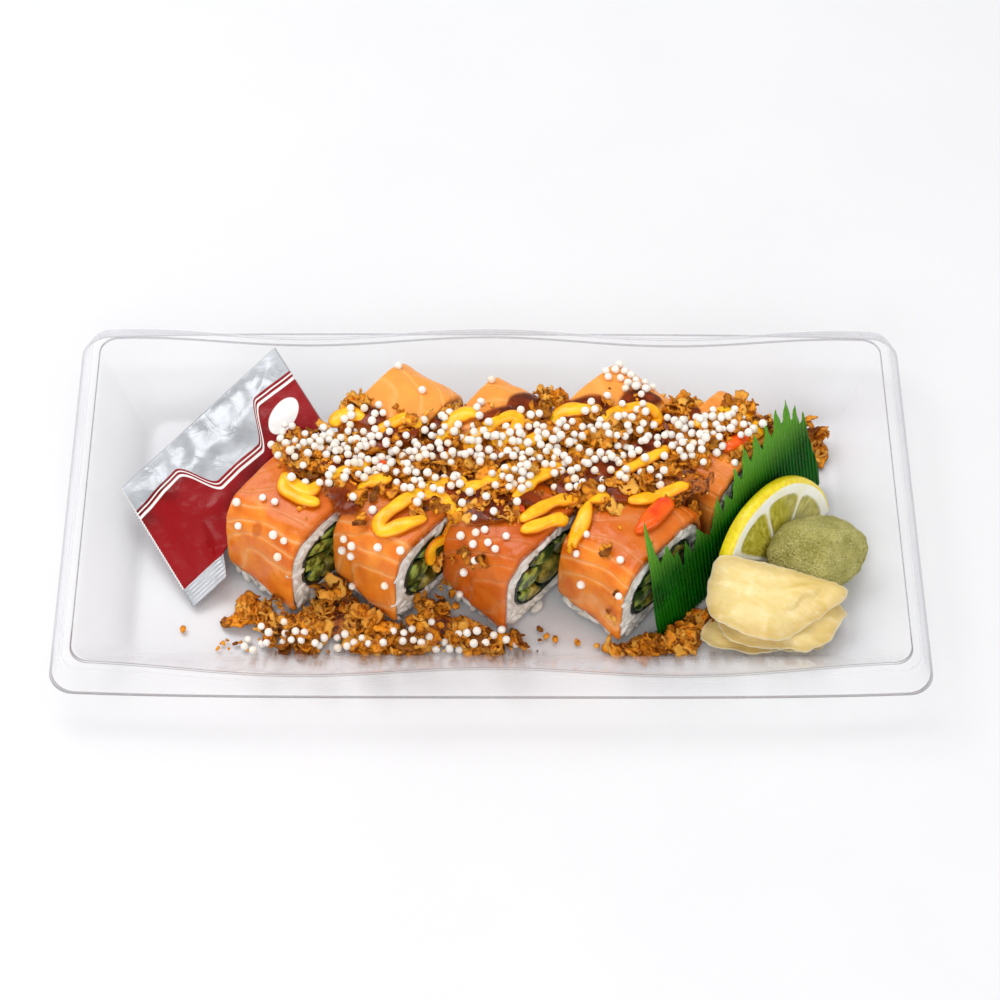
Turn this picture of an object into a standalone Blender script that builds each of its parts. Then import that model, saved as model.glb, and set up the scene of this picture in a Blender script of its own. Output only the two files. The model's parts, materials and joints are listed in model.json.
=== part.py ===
# Takeaway sushi tray: eight salmon-topped roll slices in a clear tray, with a soy
# packet, a leaf divider, half a lemon slice, wasabi, pickled ginger and fried onions.
# Sizes are in millimetres and become metres when each mesh is made. X runs along
# the tray, Y from its front to its back, Z up. The origin is under the tray's middle.
import math

import bmesh
import bpy
from mathutils import Vector

MM = 0.001
GAP = 0.35                      # clearance between pieces that touch

# Tray, measured over its flat rim
TRAY_LENGTH = 215.0
TRAY_DEPTH = 109.4
RIM_HEIGHT = 18.8
RIM_WIDTH = 3.2
RIM_CORNER = 4.6
RIM_DIP = 3.9                   # how far the long rims dip at a quarter of their length
RIM_MIDDLE_DROP = 0.8           # the middle of a long rim stays this far under the corners
RIM_WAVE = 100.0                # length of one wave of the long rims
SIDE_BOW = 1.5                  # how far the long sides bow outwards
FLOOR_LENGTH = 179.0
FLOOR_DEPTH = 72.6
FLOOR_CORNER = 4.0
SKIRT_FLARE = 2.4
SKIRT_BOTTOM = 12.4
TRAY_WALL = 0.7
LONG_STEPS = 16
SHORT_STEPS = 3
CORNER_STEPS = 4

# Roll slices: half width across the roll, and levels above the tray's underside
SALMON_HALF_WIDTH = 16.8
SALMON_SIDE = 1.2               # thickness at the sides
SALMON_TOP = 2.9                # thickness over the top
SALMON_END_LOW = 2.3            # level of its edge at the cut face
SALMON_END_HIGH = 8.5           # level of its edge at the other face
SLICE_BOTTOM = TRAY_WALL + GAP
NORI_HALF_WIDTH = 11.6
NORI_SHARE = 0.71               # height of the nori ring as a share of the rice
NORI_THICKNESS = 0.6
TOP_ROUNDNESS = 0.6             # exponents of the superellipses: 1 is an ellipse,
BOTTOM_ROUNDNESS = 0.36         # and a smaller one is nearer to a box
NORI_ROUNDNESS = 0.8

# row, column, middle x, middle y, turn in degrees, length along the roll, height
SLICES = (
    ("front", 1, -48.7, -7.1, 41.0, 22.5, 31.6),
    ("front", 2, -21.9, -10.7, 41.0, 20.5, 31.0),
    ("front", 3, 5.9, -13.4, 41.0, 20.8, 30.2),
    ("front", 4, 35.2, -16.1, 41.0, 20.8, 29.6),
    ("back", 1, -24.0, 19.4, 37.0, 18.6, 31.2),
    ("back", 2, 1.2, 15.2, 35.0, 18.6, 31.0),
    ("back", 3, 31.4, 18.6, 42.0, 20.0, 31.6),
    ("back", 4, 59.2, 10.2, 39.0, 20.0, 31.0),
)

# Packet of soy sauce: its lower left, upper left and upper right corners
PACKET_LOW = Vector((-76.4, -24.4, 2.0))
PACKET_LEFT = Vector((-96.4, 6.4, 11.6))
PACKET_TOP = Vector((-56.6, 37.2, 32.0))
PACKET_SEAL = 0.35              # half thickness of the sealed edge
PACKET_SWELL = 1.5              # half thickness added by the sauce in the middle

# Leaf divider: a thin toothed sheet that leans back on the last slices
LEAF_THICKNESS = 0.45
LEAF_TURN = 41.0                # it runs along the slices' cut faces
LEAF_START = (43.1, -34.9)
LEAF_LENGTH = 68.0
LEAF_LOW = 24.0                 # lowest and highest points of the toothed edge
LEAF_HIGH = 39.5
LEAF_FIRST_BLADE = 44.0
LEAF_TEETH = 15
LEAF_TOOTH = 6.5                # depth of a tooth
LEAF_LEAN = 0.21                # sideways travel for each millimetre of height

LEMON_RADIUS = 22.5
LEMON_THICKNESS = 4.0
LEMON_CENTRE = Vector((74.9, -10.2, 2.9))
LEMON_FACE = Vector((0.718, -0.624, 0.309)).normalized()

WASABI_CENTRE = Vector((84.9, -12.9, 1.05))
WASABI_RADIUS = 10.6
WASABI_HEIGHT = 18.5

ONION_TOP_LEVEL = 35.2          # crest of the onions over the slices
TOP_ONION_LIMIT = 47.0          # they end this far along the roll, clear of the divider
TURN = math.radians(41.0)       # turn of the front row's slices


def material(name, colour, roughness, metallic=0.0):
    mat = bpy.data.materials.new(name)
    mat.use_nodes = True
    shader = mat.node_tree.nodes["Principled BSDF"]
    shader.inputs["Base Color"].default_value = (*colour, 1.0)
    shader.inputs["Roughness"].default_value = roughness
    shader.inputs["Metallic"].default_value = metallic
    mat.diffuse_color = (*colour, 1.0)
    return mat


def make_object(name, points, faces, mat, smooth_angle=None):
    # Turns points in millimetres and faces into an object in metres
    mesh = bpy.data.meshes.new(name)
    mesh.from_pydata([Vector(p) * MM for p in points], [], faces)
    shape = bmesh.new()
    shape.from_mesh(mesh)
    bmesh.ops.recalc_face_normals(shape, faces=shape.faces)
    shape.to_mesh(mesh)
    shape.free()
    mesh.materials.append(mat)
    if smooth_angle is not None:
        mesh.shade_smooth()
        mesh.set_sharp_from_angle(angle=math.radians(smooth_angle))
    part = bpy.data.objects.new(name, mesh)
    bpy.context.scene.collection.objects.link(part)
    return part


def loft(rings, cap=True):
    # Joins closed rings of equally many points, and caps the two ends
    count = len(rings[0])
    points = [p for ring in rings for p in ring]
    faces = []
    for level in range(len(rings) - 1):
        low = level * count
        high = low + count
        for i in range(count):
            j = (i + 1) % count
            faces.append((low + i, low + j, high + j, high + i))
    if cap:
        faces.append(tuple(range(count)))
        faces.append(tuple(range(len(points) - count, len(points))))
    return points, faces


def sleeve(outer_rings, inner_rings):
    # A tube with a hole through it, closed by a flat face at each end
    count = len(outer_rings[0])
    levels = len(outer_rings)
    points = [p for ring in outer_rings for p in ring]
    shift = len(points)
    points += [p for ring in inner_rings for p in ring]
    faces = []
    for level in range(levels - 1):
        low = level * count
        high = low + count
        for i in range(count):
            j = (i + 1) % count
            faces.append((low + i, low + j, high + j, high + i))
            faces.append((shift + low + j, shift + low + i, shift + high + i, shift + high + j))
    for start in (0, (levels - 1) * count):
        for i in range(count):
            j = (i + 1) % count
            faces.append((start + i, start + j, shift + start + j, shift + start + i))
    return points, faces


def slab(middle, half_thickness, across, along):
    # A bent plate: middle(u, v) is its middle surface, u and v run from 0 to 1
    step = 0.01
    points = []
    for side in (1.0, -1.0):
        for i in range(across + 1):
            for j in range(along + 1):
                u = i / across
                v = j / along
                here = middle(u, v)
                over = middle(u + step, v) - middle(u - step, v)
                up = middle(u, v + step) - middle(u, v - step)
                normal = over.cross(up).normalized()
                points.append(here + normal * (side * half_thickness(u, v)))
    row = along + 1
    shift = (across + 1) * row
    faces = []
    for i in range(across):
        for j in range(along):
            a = i * row + j
            faces.append((a, a + row, a + row + 1, a + 1))
            faces.append((shift + a, shift + a + 1, shift + a + row + 1, shift + a + row))
    border = [i * row for i in range(across)]
    border += [across * row + j for j in range(along)]
    border += [i * row + along for i in range(across, 0, -1)]
    border += [j for j in range(along, 0, -1)]
    for k, a in enumerate(border):
        b = border[(k + 1) % len(border)]
        faces.append((a, b, shift + b, shift + a))
    return points, faces


# ---------------------------------------------------------------- tray

def rim_level(x):
    # The long rims dip at a quarter and three quarters of their length
    wave = 0.5 * RIM_DIP * (1.0 - math.cos(2.0 * math.pi * x / RIM_WAVE))
    drop = RIM_MIDDLE_DROP * math.cos(math.pi * x / (2.0 * RIM_WAVE)) ** 2
    return RIM_HEIGHT - wave - drop


def tray_ring(half_x, half_y, corner, level, bow, follow):
    # One level of the tray, from its front left corner anticlockwise; follow is the
    # share of the rim's wave that this level takes, and bow moves the long sides out
    run_x = half_x - corner
    run_y = half_y - corner
    flat = []
    for i in range(LONG_STEPS):
        flat.append((-run_x + 2.0 * run_x * i / LONG_STEPS, -half_y))
    corners = ((run_x, -run_y, -90.0), (run_x, run_y, 0.0), (-run_x, run_y, 90.0), (-run_x, -run_y, 180.0))
    for k, (cx, cy, start) in enumerate(corners):
        for i in range(CORNER_STEPS + 1):
            angle = math.radians(start + 90.0 * i / CORNER_STEPS)
            flat.append((cx + corner * math.cos(angle), cy + corner * math.sin(angle)))
        if k in (0, 2):
            turn = 1.0 if k == 0 else -1.0
            for i in range(1, SHORT_STEPS):
                flat.append((turn * half_x, turn * (-run_y + 2.0 * run_y * i / SHORT_STEPS)))
        if k == 1:
            for i in range(1, LONG_STEPS):
                flat.append((run_x - 2.0 * run_x * i / LONG_STEPS, half_y))
    flat.pop()
    ring = []
    for x, y in flat:
        out = bow * (1.0 - (x / half_x) ** 4)
        wave = follow * (rim_level(x) - RIM_HEIGHT)
        ring.append((x, y + math.copysign(out, y) * min(1.0, abs(y) / run_y), level + wave))
    return ring


def build_tray(mat):
    half_x = 0.5 * TRAY_LENGTH
    half_y = 0.5 * TRAY_DEPTH
    floor_x = 0.5 * FLOOR_LENGTH
    floor_y = 0.5 * FLOOR_DEPTH
    # Each level's half sizes, corner, height, bow and share of the rim's wave
    lip_x = half_x - RIM_WIDTH
    lip_y = half_y - RIM_WIDTH
    skirt_x = half_x + SKIRT_FLARE
    skirt_y = half_y + SKIRT_FLARE
    inside = (
        tray_ring(floor_x, floor_y, FLOOR_CORNER, TRAY_WALL, 0.0, 0.0),
        tray_ring(floor_x + 2.1, floor_y + 2.1, FLOOR_CORNER + 1.0, 1.25, 0.0, 0.0),
        tray_ring(floor_x + 3.7, floor_y + 3.9, FLOOR_CORNER + 1.5, 2.9, 0.0, 0.0),
        tray_ring(lip_x - 0.4, lip_y - 0.4, RIM_CORNER, RIM_HEIGHT - 0.5, SIDE_BOW, 1.0),
        tray_ring(lip_x, lip_y, RIM_CORNER, RIM_HEIGHT, SIDE_BOW, 1.0),
        tray_ring(half_x - 0.4, half_y - 0.4, RIM_CORNER, RIM_HEIGHT, SIDE_BOW, 1.0),
        tray_ring(half_x, half_y, RIM_CORNER, RIM_HEIGHT - 0.5, SIDE_BOW, 1.0),
        tray_ring(skirt_x, skirt_y, RIM_CORNER + 1.6, SKIRT_BOTTOM, SIDE_BOW, 0.0),
    )
    outside = (
        tray_ring(skirt_x - TRAY_WALL, skirt_y - TRAY_WALL, RIM_CORNER + 1.2, SKIRT_BOTTOM, SIDE_BOW, 0.0),
        tray_ring(half_x - TRAY_WALL, half_y - TRAY_WALL, RIM_CORNER, RIM_HEIGHT - 1.0, SIDE_BOW, 1.0),
        tray_ring(lip_x + 0.5, lip_y + 0.5, RIM_CORNER, RIM_HEIGHT - 0.9, SIDE_BOW, 1.0),
        tray_ring(floor_x + 4.5, floor_y + 4.7, FLOOR_CORNER + 1.8, 2.6, 0.0, 0.0),
        tray_ring(floor_x + 2.5, floor_y + 2.5, FLOOR_CORNER + 1.0, 0.55, 0.0, 0.0),
        tray_ring(floor_x + 0.2, floor_y + 0.2, FLOOR_CORNER, 0.0, 0.0, 0.0),
    )
    points, faces = loft(inside + outside)
    make_object("tray", points, faces, mat, 30.0)


# ---------------------------------------------------------------- slices

def superellipse(half_w, half_h, angle, top_power, bottom_power):
    c = math.cos(angle)
    s = math.sin(angle)
    power = top_power if s >= 0.0 else bottom_power
    return (half_w * math.copysign(abs(c) ** power, c), half_h * math.copysign(abs(s) ** power, s))


def ring_angles(count, start=0.0, sweep=360.0, closed=True):
    steps = count if closed else count - 1
    return [math.radians(start + sweep * i / steps) for i in range(count)]


class Slice:
    # One slice of the roll: a local frame, with s along the roll, b across it and z up
    def __init__(self, row, column, x, y, turn, length, height):
        self.name = "slice_%s_%d" % (row, column)
        self.x = x
        self.y = y
        self.length = length
        self.height = height
        angle = math.radians(turn)
        self.along = (math.cos(angle), -math.sin(angle))
        self.across = (math.sin(angle), math.cos(angle))
        self.rice_top = height - SALMON_TOP - GAP
        self.middle = 0.5 * (self.rice_top + SLICE_BOTTOM)
        self.rice_half_width = SALMON_HALF_WIDTH - SALMON_SIDE - GAP
        self.rice_half_height = 0.5 * (self.rice_top - SLICE_BOTTOM)
        self.phase = 1.7 * column + (0.9 if row == "back" else 0.0)

    def place(self, s, b, z):
        return (self.x + s * self.along[0] + b * self.across[0],
                self.y + s * self.along[1] + b * self.across[1], z)

    def local(self, x, y):
        dx = x - self.x
        dy = y - self.y
        return (dx * self.along[0] + dy * self.along[1], dx * self.across[0] + dy * self.across[1])

    def rice_point(self, angle, grow=0.0):
        b, z = superellipse(self.rice_half_width + grow, self.rice_half_height + grow, angle,
                            TOP_ROUNDNESS, BOTTOM_ROUNDNESS)
        return b, self.middle + z

    def top_at(self, x, y, margin):
        # Level of the salmon's top over a point, or zero clear of the slice
        s, b = self.local(x, y)
        share = abs(b) / (SALMON_HALF_WIDTH + margin)
        if abs(s) > 0.5 * self.length + margin or share >= 1.0:
            return 0.0
        half_h = self.height - self.middle
        return self.middle + half_h * (1.0 - share ** (2.0 / TOP_ROUNDNESS)) ** (0.5 * TOP_ROUNDNESS)


def build_salmon(piece, mat):
    stations = 4
    steps = 13
    rings = []
    for k in range(stations):
        share = k / (stations - 1)
        s = (share - 0.5) * piece.length
        edge = SALMON_END_HIGH + (SALMON_END_LOW - SALMON_END_HIGH) * share
        swell = 1.0 - 0.012 * math.cos(3.0 * share * math.pi + piece.phase)
        half_w = SALMON_HALF_WIDTH * swell - 0.2
        half_h = piece.height - piece.middle
        reach = (piece.middle - edge) / half_h
        start = -math.degrees(math.asin(reach ** (1.0 / BOTTOM_ROUNDNESS)))
        angles = ring_angles(steps, start, 180.0 - 2.0 * start, False)
        outer = []
        inner = []
        for angle in angles:
            b, z = superellipse(half_w, half_h, angle, TOP_ROUNDNESS, BOTTOM_ROUNDNESS)
            ripple = 0.25 * math.sin(2.5 * angle + piece.phase + 2.0 * share)
            outer.append(piece.place(s, b, piece.middle + z + ripple * max(0.0, math.sin(angle))))
            b, z = piece.rice_point(angle, GAP)
            inner.append(piece.place(s, b, z))
        rings.append(outer + inner[::-1])
    points, faces = loft(rings)
    make_object(piece.name + "_salmon", points, faces, mat, 40.0)


def build_rice(piece, mat):
    half = 0.5 * piece.length - 0.3
    outer = []
    inner = []
    for k, s in enumerate((-half, 0.0, half)):
        shrink = 0.25 if k == 1 else 0.05
        outer.append([piece.place(s, *piece.rice_point(angle, shrink - 0.3)) for angle in ring_angles(16)])
        inner.append([piece.place(s, *nori_point(piece, angle, GAP)) for angle in ring_angles(16)])
    points, faces = sleeve(outer, inner)
    make_object(piece.name + "_rice", points, faces, mat, 50.0)


def nori_point(piece, angle, grow=0.0):
    b, z = superellipse(NORI_HALF_WIDTH + grow, NORI_SHARE * piece.rice_half_height + grow, angle,
                        NORI_ROUNDNESS, NORI_ROUNDNESS)
    return b, piece.middle + z


def build_nori(piece, mat):
    half = 0.5 * piece.length - 0.2
    angles = ring_angles(16)
    outer = [[piece.place(s, *nori_point(piece, angle)) for angle in angles] for s in (-half, half)]
    inner = [[piece.place(s, *nori_point(piece, angle, -NORI_THICKNESS)) for angle in angles]
             for s in (-half, half)]
    points, faces = sleeve(outer, inner)
    make_object(piece.name + "_nori", points, faces, mat, 50.0)


def build_filling(piece, name, start, sweep, mat):
    # A segment of the space inside the nori, cut off by a straight chord
    half = 0.5 * piece.length - 0.1
    grow = -NORI_THICKNESS - GAP
    rings = []
    for s in (-half, half):
        ring = [nori_point(piece, angle, grow) for angle in ring_angles(9, start, sweep, False)]
        rings.append([piece.place(s, b, z) for b, z in ring])
    points, faces = loft(rings)
    make_object("%s_%s" % (piece.name, name), points, faces, mat, 50.0)


def build_slices(mats):
    pieces = [Slice(*values) for values in SLICES]
    for piece in pieces:
        chord = 55.0 + 9.0 * math.sin(piece.phase)
        build_salmon(piece, mats["salmon"])
        build_rice(piece, mats["rice"])
        build_nori(piece, mats["nori"])
        build_filling(piece, "cucumber", chord + 4.0, 172.0, mats["cucumber"])
        build_filling(piece, "avocado", chord + 184.0, 172.0, mats["avocado"])
    return pieces


# ---------------------------------------------------------------- packet, divider

def build_packet(pieces, mat):
    # A flat sachet that leans on the tray's left wall and on the last slice of the
    # back row; its lower right part ends against the first slice
    over = PACKET_TOP - PACKET_LEFT
    down = PACKET_LOW - PACKET_LEFT
    first = pieces[0]
    clear = 0.5 * first.length + PACKET_SEAL + 2.0 * GAP

    def depth_free(u):
        # Share of the packet's height that is clear of the first slice's face
        point = PACKET_LEFT + over * u
        start, _ = first.local(point.x, point.y)
        point += down
        end, across = first.local(point.x, point.y)
        free = (-clear - start) / (end - start)
        blend = min(1.0, max(0.0, (across + SALMON_HALF_WIDTH + 4.0) / 2.4))
        return 1.0 + blend * (min(free, 1.0) - 1.0)

    def middle(u, v):
        return PACKET_LEFT + over * u + down * (v * depth_free(min(max(u, 0.0), 1.0)))

    def half_thickness(u, v):
        u = min(max(u, 0.0), 1.0)
        v = min(max(v, 0.0), 1.0)
        bulge = (1.0 - (2.0 * u - 1.0) ** 4) * (1.0 - (2.0 * v - 1.0) ** 4)
        return PACKET_SEAL + PACKET_SWELL * bulge

    points, faces = slab(middle, half_thickness, 14, 7)
    make_object("soy_packet", points, faces, mat, 40.0)


def leaf_edge(t):
    # Height of the toothed edge, without its teeth, from the front end to the back end
    crown = math.sin(math.pi * min(1.0, max(0.0, 0.78 * t * LEAF_LENGTH / 53.0 - 0.05))) ** 2
    return LEAF_LOW + (LEAF_HIGH - LEAF_LOW) * crown


def build_leaf(mat):
    angle = math.radians(LEAF_TURN)
    ahead = Vector((math.sin(angle), math.cos(angle), 0.0))
    away = Vector((-math.cos(angle), math.sin(angle), 0.0))
    side = away * (-0.5 * LEAF_THICKNESS)
    start = Vector((*LEAF_START, TRAY_WALL + GAP))
    columns = []
    for i in range(2 * LEAF_TEETH + 1):
        t = i / (2.0 * LEAF_TEETH)
        foot = start + ahead * (LEAF_LENGTH * t) + away * (0.5 * math.sin(9.0 * t))
        rise = leaf_edge(t) + (0.0 if i % 2 else -LEAF_TOOTH)
        if i in (0, 2 * LEAF_TEETH):
            rise = 0.4 * LEAF_LOW
        if i == 1:
            rise = LEAF_FIRST_BLADE
        head = foot + Vector((0.0, 0.0, rise)) + away * (LEAF_LEAN * rise)
        waist = foot.lerp(head, 0.5)
        near = [foot + side, waist + side, head + side]
        columns.append(near + [head - side, waist - side, foot - side])
    points, faces = loft(columns)
    make_object("leaf_divider", points, faces, mat, 40.0)


# ---------------------------------------------------------------- garnish

def build_lemon(mat):
    # Half a slice standing on its straight edge; the cut face looks along LEMON_FACE
    level = Vector((-LEMON_FACE.y, LEMON_FACE.x, 0.0)).normalized()
    upward = LEMON_FACE.cross(level)
    rings = []
    for depth, inset in ((0.0, 0.7), (0.7, 0.0), (LEMON_THICKNESS - 0.7, 0.0), (LEMON_THICKNESS, 0.7)):
        back = LEMON_CENTRE - LEMON_FACE * depth
        radius = LEMON_RADIUS - inset
        ring = []
        for i in range(19):
            angle = math.pi * i / 18.0
            ring.append(back + level * (radius * math.cos(angle)) + upward * (radius * math.sin(angle)))
        rings.append(ring)
    points, faces = loft(rings)
    make_object("lemon_half_slice", points, faces, mat, 40.0)


def build_wasabi(mat):
    around = 16
    rings = []
    # Share of the height and share of the radius at each level
    profile = (
        (0.0, 0.45), (0.08, 0.70), (0.20, 0.87), (0.42, 1.0),
        (0.62, 0.95), (0.80, 0.75), (0.92, 0.48), (1.0, 0.18),
    )
    for share, width in profile:
        ring = []
        for i in range(around):
            angle = 2.0 * math.pi * i / around
            lump = 1.0 + 0.03 * math.sin(3.0 * angle + 4.0 * share) + 0.015 * math.sin(5.0 * angle + 1.0)
            radius = WASABI_RADIUS * width * lump
            out = Vector((radius * math.cos(angle), 0.92 * radius * math.sin(angle), 0.0))
            ring.append(WASABI_CENTRE + out + Vector((-share, 0.6 * share, WASABI_HEIGHT * share)))
        rings.append(ring)
    points, faces = loft(rings)
    make_object("wasabi", points, faces, mat, 60.0)


def petal(corners, bulge, ripple, phase):
    # Middle surface of one thin slice of ginger between four corners
    near_left, near_right, far_right, far_left = (Vector(c) for c in corners)

    def middle(u, v):
        point = near_left.lerp(near_right, u).lerp(far_left.lerp(far_right, u), v)
        dome = 16.0 * u * (1.0 - u) * v * (1.0 - v)
        wave = ripple * math.sin(5.0 * u + phase) * math.cos(4.0 * v + phase)
        side = 4.0 * v * (1.0 - v)
        point.z += bulge * dome + wave
        point.x += 2.5 * side * (2.0 * u - 1.0)
        point.y -= 2.0 * 4.0 * u * (1.0 - u) * (1.0 - 2.0 * v)
        return point

    return middle


def build_ginger(mat):
    petals = (
        ("ginger_top", ((57.4, -30.8, 9.8), (80.0, -34.6, 9.6), (88.0, -27.0, 12.4), (59.2, -21.8, 17.6)),
         4.4, 0.3, 0.4, 0.9),
        ("ginger_middle", ((57.6, -32.8, 5.2), (82.0, -36.8, 5.6), (88.6, -27.6, 6.6), (64.4, -27.6, 6.6)),
         1.6, 0.25, 1.4, 0.9),
        ("ginger_lower", ((58.4, -33.6, 2.3), (84.0, -35.6, 2.6), (87.2, -28.6, 2.6), (65.0, -28.4, 2.3)),
         0.6, 0.1, 2.2, 0.8),
    )
    for name, corners, bulge, ripple, phase, half in petals:
        points, faces = slab(petal(corners, bulge, ripple, phase), lambda u, v: half, 7, 5)
        make_object(name, points, faces, mat, 60.0)


# ---------------------------------------------------------------- fried onions

def lumps(x, y, size):
    # A smooth uneven field between about -1 and 1
    first = math.sin(x / size + 1.3) * math.cos(y / size - 0.4)
    second = math.sin(0.57 * x / size - 1.9 * y / size + 2.1)
    third = math.cos(1.7 * x / size + 0.8 * y / size)
    return 0.45 * first + 0.33 * second + 0.22 * third


def build_top_onions(pieces, mat):
    # A band over the tops of the slices, from the left end to the right end
    start_x, end_x = -52.0, 70.0
    columns, rows = 22, 5
    upper = []
    lower = []
    for i in range(columns + 1):
        share = i / columns
        x = start_x + (end_x - start_x) * share
        middle_y = -1.0 - 4.0 * math.sin(math.pi * share) + 5.0 * share
        taper = (1.0 - (2.0 * share - 1.0) ** 6) ** 0.5
        half = (5.0 + 9.5 * taper) * (1.0 + 0.10 * lumps(x, 0.0, 5.0))
        for j in range(rows + 1):
            side = 2.0 * j / rows - 1.0
            y = middle_y + half * side
            y = max(y, (x * math.cos(TURN) - TOP_ONION_LIMIT) / math.sin(TURN) + 0.9 * side)
            under = 0.0
            for dx in (-3.0, 0.0, 3.0):
                for dy in (-3.0, 0.0, 3.0):
                    for piece in pieces:
                        under = max(under, piece.top_at(x + dx, y + dy, 1.5))
            under = max(under, 29.0) + 0.6
            crest = ONION_TOP_LEVEL + 1.5 * lumps(x, y, 3.1) - 2.2 * abs(side) ** 3
            lower.append((x, y, under))
            upper.append((x, y, max(crest, under + 1.2)))
    row = rows + 1
    shift = len(upper)
    faces = []
    for i in range(columns):
        for j in range(rows):
            a = i * row + j
            faces.append((a, a + row, a + row + 1, a + 1))
            faces.append((shift + a, shift + a + 1, shift + a + row + 1, shift + a + row))
    border = [i * row for i in range(columns)]
    border += [columns * row + j for j in range(rows)]
    border += [i * row + rows for i in range(columns, 0, -1)]
    border += [j for j in range(rows, 0, -1)]
    for k, a in enumerate(border):
        b = border[(k + 1) % len(border)]
        faces.append((a, b, shift + b, shift + a))
    make_object("fried_onions_top", upper + lower, faces, mat, 60.0)


def build_mound(name, stations, mat):
    # A low heap on the tray's floor; each station is x, y, reach to the front,
    # reach to the back, and height
    base = TRAY_WALL + GAP
    rings = []
    for k, (x, y, front, back, height) in enumerate(stations):
        lean = 0.6 * math.sin(2.3 * k)
        rings.append([
            (x, y - front, base + 1.0),
            (x + lean, y - 0.75 * front, base + 0.75 * height),
            (x - lean, y, base + height),
            (x + lean, y + 0.7 * back, base + 0.8 * height),
            (x, y + back, base + 0.3),
            (x, y - 0.6 * front, base),
        ])
    points, faces = loft(rings)
    make_object(name, points, faces, mat, 60.0)


def build_floor_onions(pieces, mat):
    front = []
    spacing = 4.0
    start_x = -66.0
    for k in range(18):
        x = start_x + spacing * k
        back_y = -20.0
        for piece in pieces[:4]:
            # Keep in front of each slice's outer side and of its cut face
            rim = [(0.125 * step * piece.length, -SALMON_HALF_WIDTH) for step in range(-4, 5)]
            rim += [(0.5 * piece.length + 0.4, -SALMON_HALF_WIDTH + 2.0 * step) for step in range(6)]
            for along, across in rim:
                edge_x, edge_y, _ = piece.place(along, across, 0.0)
                if abs(edge_x - x) < 4.4:
                    back_y = min(back_y, edge_y - 0.9)
        back_y = max(back_y, -35.6)
        middle_y = max(back_y - 3.2, -36.0)
        reach = middle_y + 38.2
        taper = math.sin(math.pi * (k + 0.6) / 18.2) ** 0.4
        height = (4.6 + 1.4 * lumps(x, 3.0, 2.3)) * taper
        front.append((x, middle_y, reach * taper, (back_y - middle_y) * taper, height))
    build_mound("fried_onions_front_left", front, mat)
    right = (
        (28.5, -36.8, 0.4, 0.4, 1.8), (31.5, -36.9, 0.5, 0.5, 2.8), (35.0, -36.9, 0.6, 0.8, 3.0),
        (39.0, -36.8, 0.6, 1.0, 3.2), (43.5, -36.5, 0.7, 1.1, 3.4), (47.0, -35.2, 2.0, 2.0, 3.4),
        (50.5, -32.6, 3.6, 2.6, 3.4), (54.0, -29.0, 2.4, 2.4, 3.2), (56.4, -26.6, 0.8, 1.6, 1.8),
    )
    build_mound("fried_onions_front_right", right, mat)
    corner = (
        (79.5, 27.5, 1.6, 1.6, 2.2), (82.0, 27.8, 3.4, 3.6, 5.4), (85.0, 27.6, 5.0, 4.8, 7.4),
        (87.5, 27.4, 3.6, 3.8, 5.6), (89.5, 27.2, 1.4, 1.6, 2.6),
    )
    build_mound("fried_onions_back_right", corner, mat)


def main():
    for old in list(bpy.data.objects):
        bpy.data.objects.remove(old, do_unlink=True)
    mats = {
        "clear": material("clear_plastic", (0.90, 0.92, 0.94), 0.08),
        "salmon": material("salmon", (0.80, 0.26, 0.08), 0.35),
        "rice": material("rice", (0.82, 0.80, 0.74), 0.55),
        "nori": material("nori", (0.010, 0.018, 0.012), 0.50),
        "cucumber": material("cucumber", (0.10, 0.26, 0.05), 0.35),
        "avocado": material("avocado", (0.48, 0.50, 0.12), 0.45),
        "foil": material("printed_film", (0.42, 0.01, 0.03), 0.25),
        "leaf": material("leaf_film", (0.01, 0.20, 0.05), 0.30),
        "lemon": material("lemon", (0.75, 0.60, 0.05), 0.40),
        "wasabi": material("wasabi", (0.36, 0.42, 0.18), 0.80),
        "ginger": material("pickled_ginger", (0.85, 0.70, 0.38), 0.30),
        "onion": material("fried_onion", (0.50, 0.22, 0.04), 0.60),
    }
    build_tray(mats["clear"])
    pieces = build_slices(mats)
    build_packet(pieces, mats["foil"])
    build_leaf(mats["leaf"])
    build_lemon(mats["lemon"])
    build_wasabi(mats["wasabi"])
    build_ginger(mats["ginger"])
    build_top_onions(pieces, mats["onion"])
    build_floor_onions(pieces, mats["onion"])


main()
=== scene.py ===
import json
import math
import random

import bmesh
import bpy
import numpy as np
from mathutils import Euler, Matrix, Vector, noise
from mathutils.bvhtree import BVHTree

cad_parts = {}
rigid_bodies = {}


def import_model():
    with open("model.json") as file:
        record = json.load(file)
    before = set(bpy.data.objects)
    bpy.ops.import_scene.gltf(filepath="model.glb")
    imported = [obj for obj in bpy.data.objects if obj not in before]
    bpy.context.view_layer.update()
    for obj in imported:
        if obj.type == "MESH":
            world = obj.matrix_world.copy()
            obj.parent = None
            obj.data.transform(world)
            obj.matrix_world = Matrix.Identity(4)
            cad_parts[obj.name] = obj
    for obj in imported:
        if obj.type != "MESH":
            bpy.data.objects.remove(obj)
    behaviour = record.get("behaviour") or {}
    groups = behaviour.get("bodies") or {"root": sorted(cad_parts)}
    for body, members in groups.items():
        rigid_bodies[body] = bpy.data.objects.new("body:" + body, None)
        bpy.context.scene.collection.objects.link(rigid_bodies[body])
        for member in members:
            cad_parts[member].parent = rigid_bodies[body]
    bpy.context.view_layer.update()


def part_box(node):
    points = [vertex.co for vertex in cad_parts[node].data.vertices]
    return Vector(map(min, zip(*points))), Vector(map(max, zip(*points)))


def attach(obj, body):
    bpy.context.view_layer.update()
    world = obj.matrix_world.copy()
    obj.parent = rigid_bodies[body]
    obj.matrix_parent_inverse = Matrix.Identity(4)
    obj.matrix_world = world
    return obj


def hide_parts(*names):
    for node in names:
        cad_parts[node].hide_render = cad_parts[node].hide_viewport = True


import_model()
mm = 0.001
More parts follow.
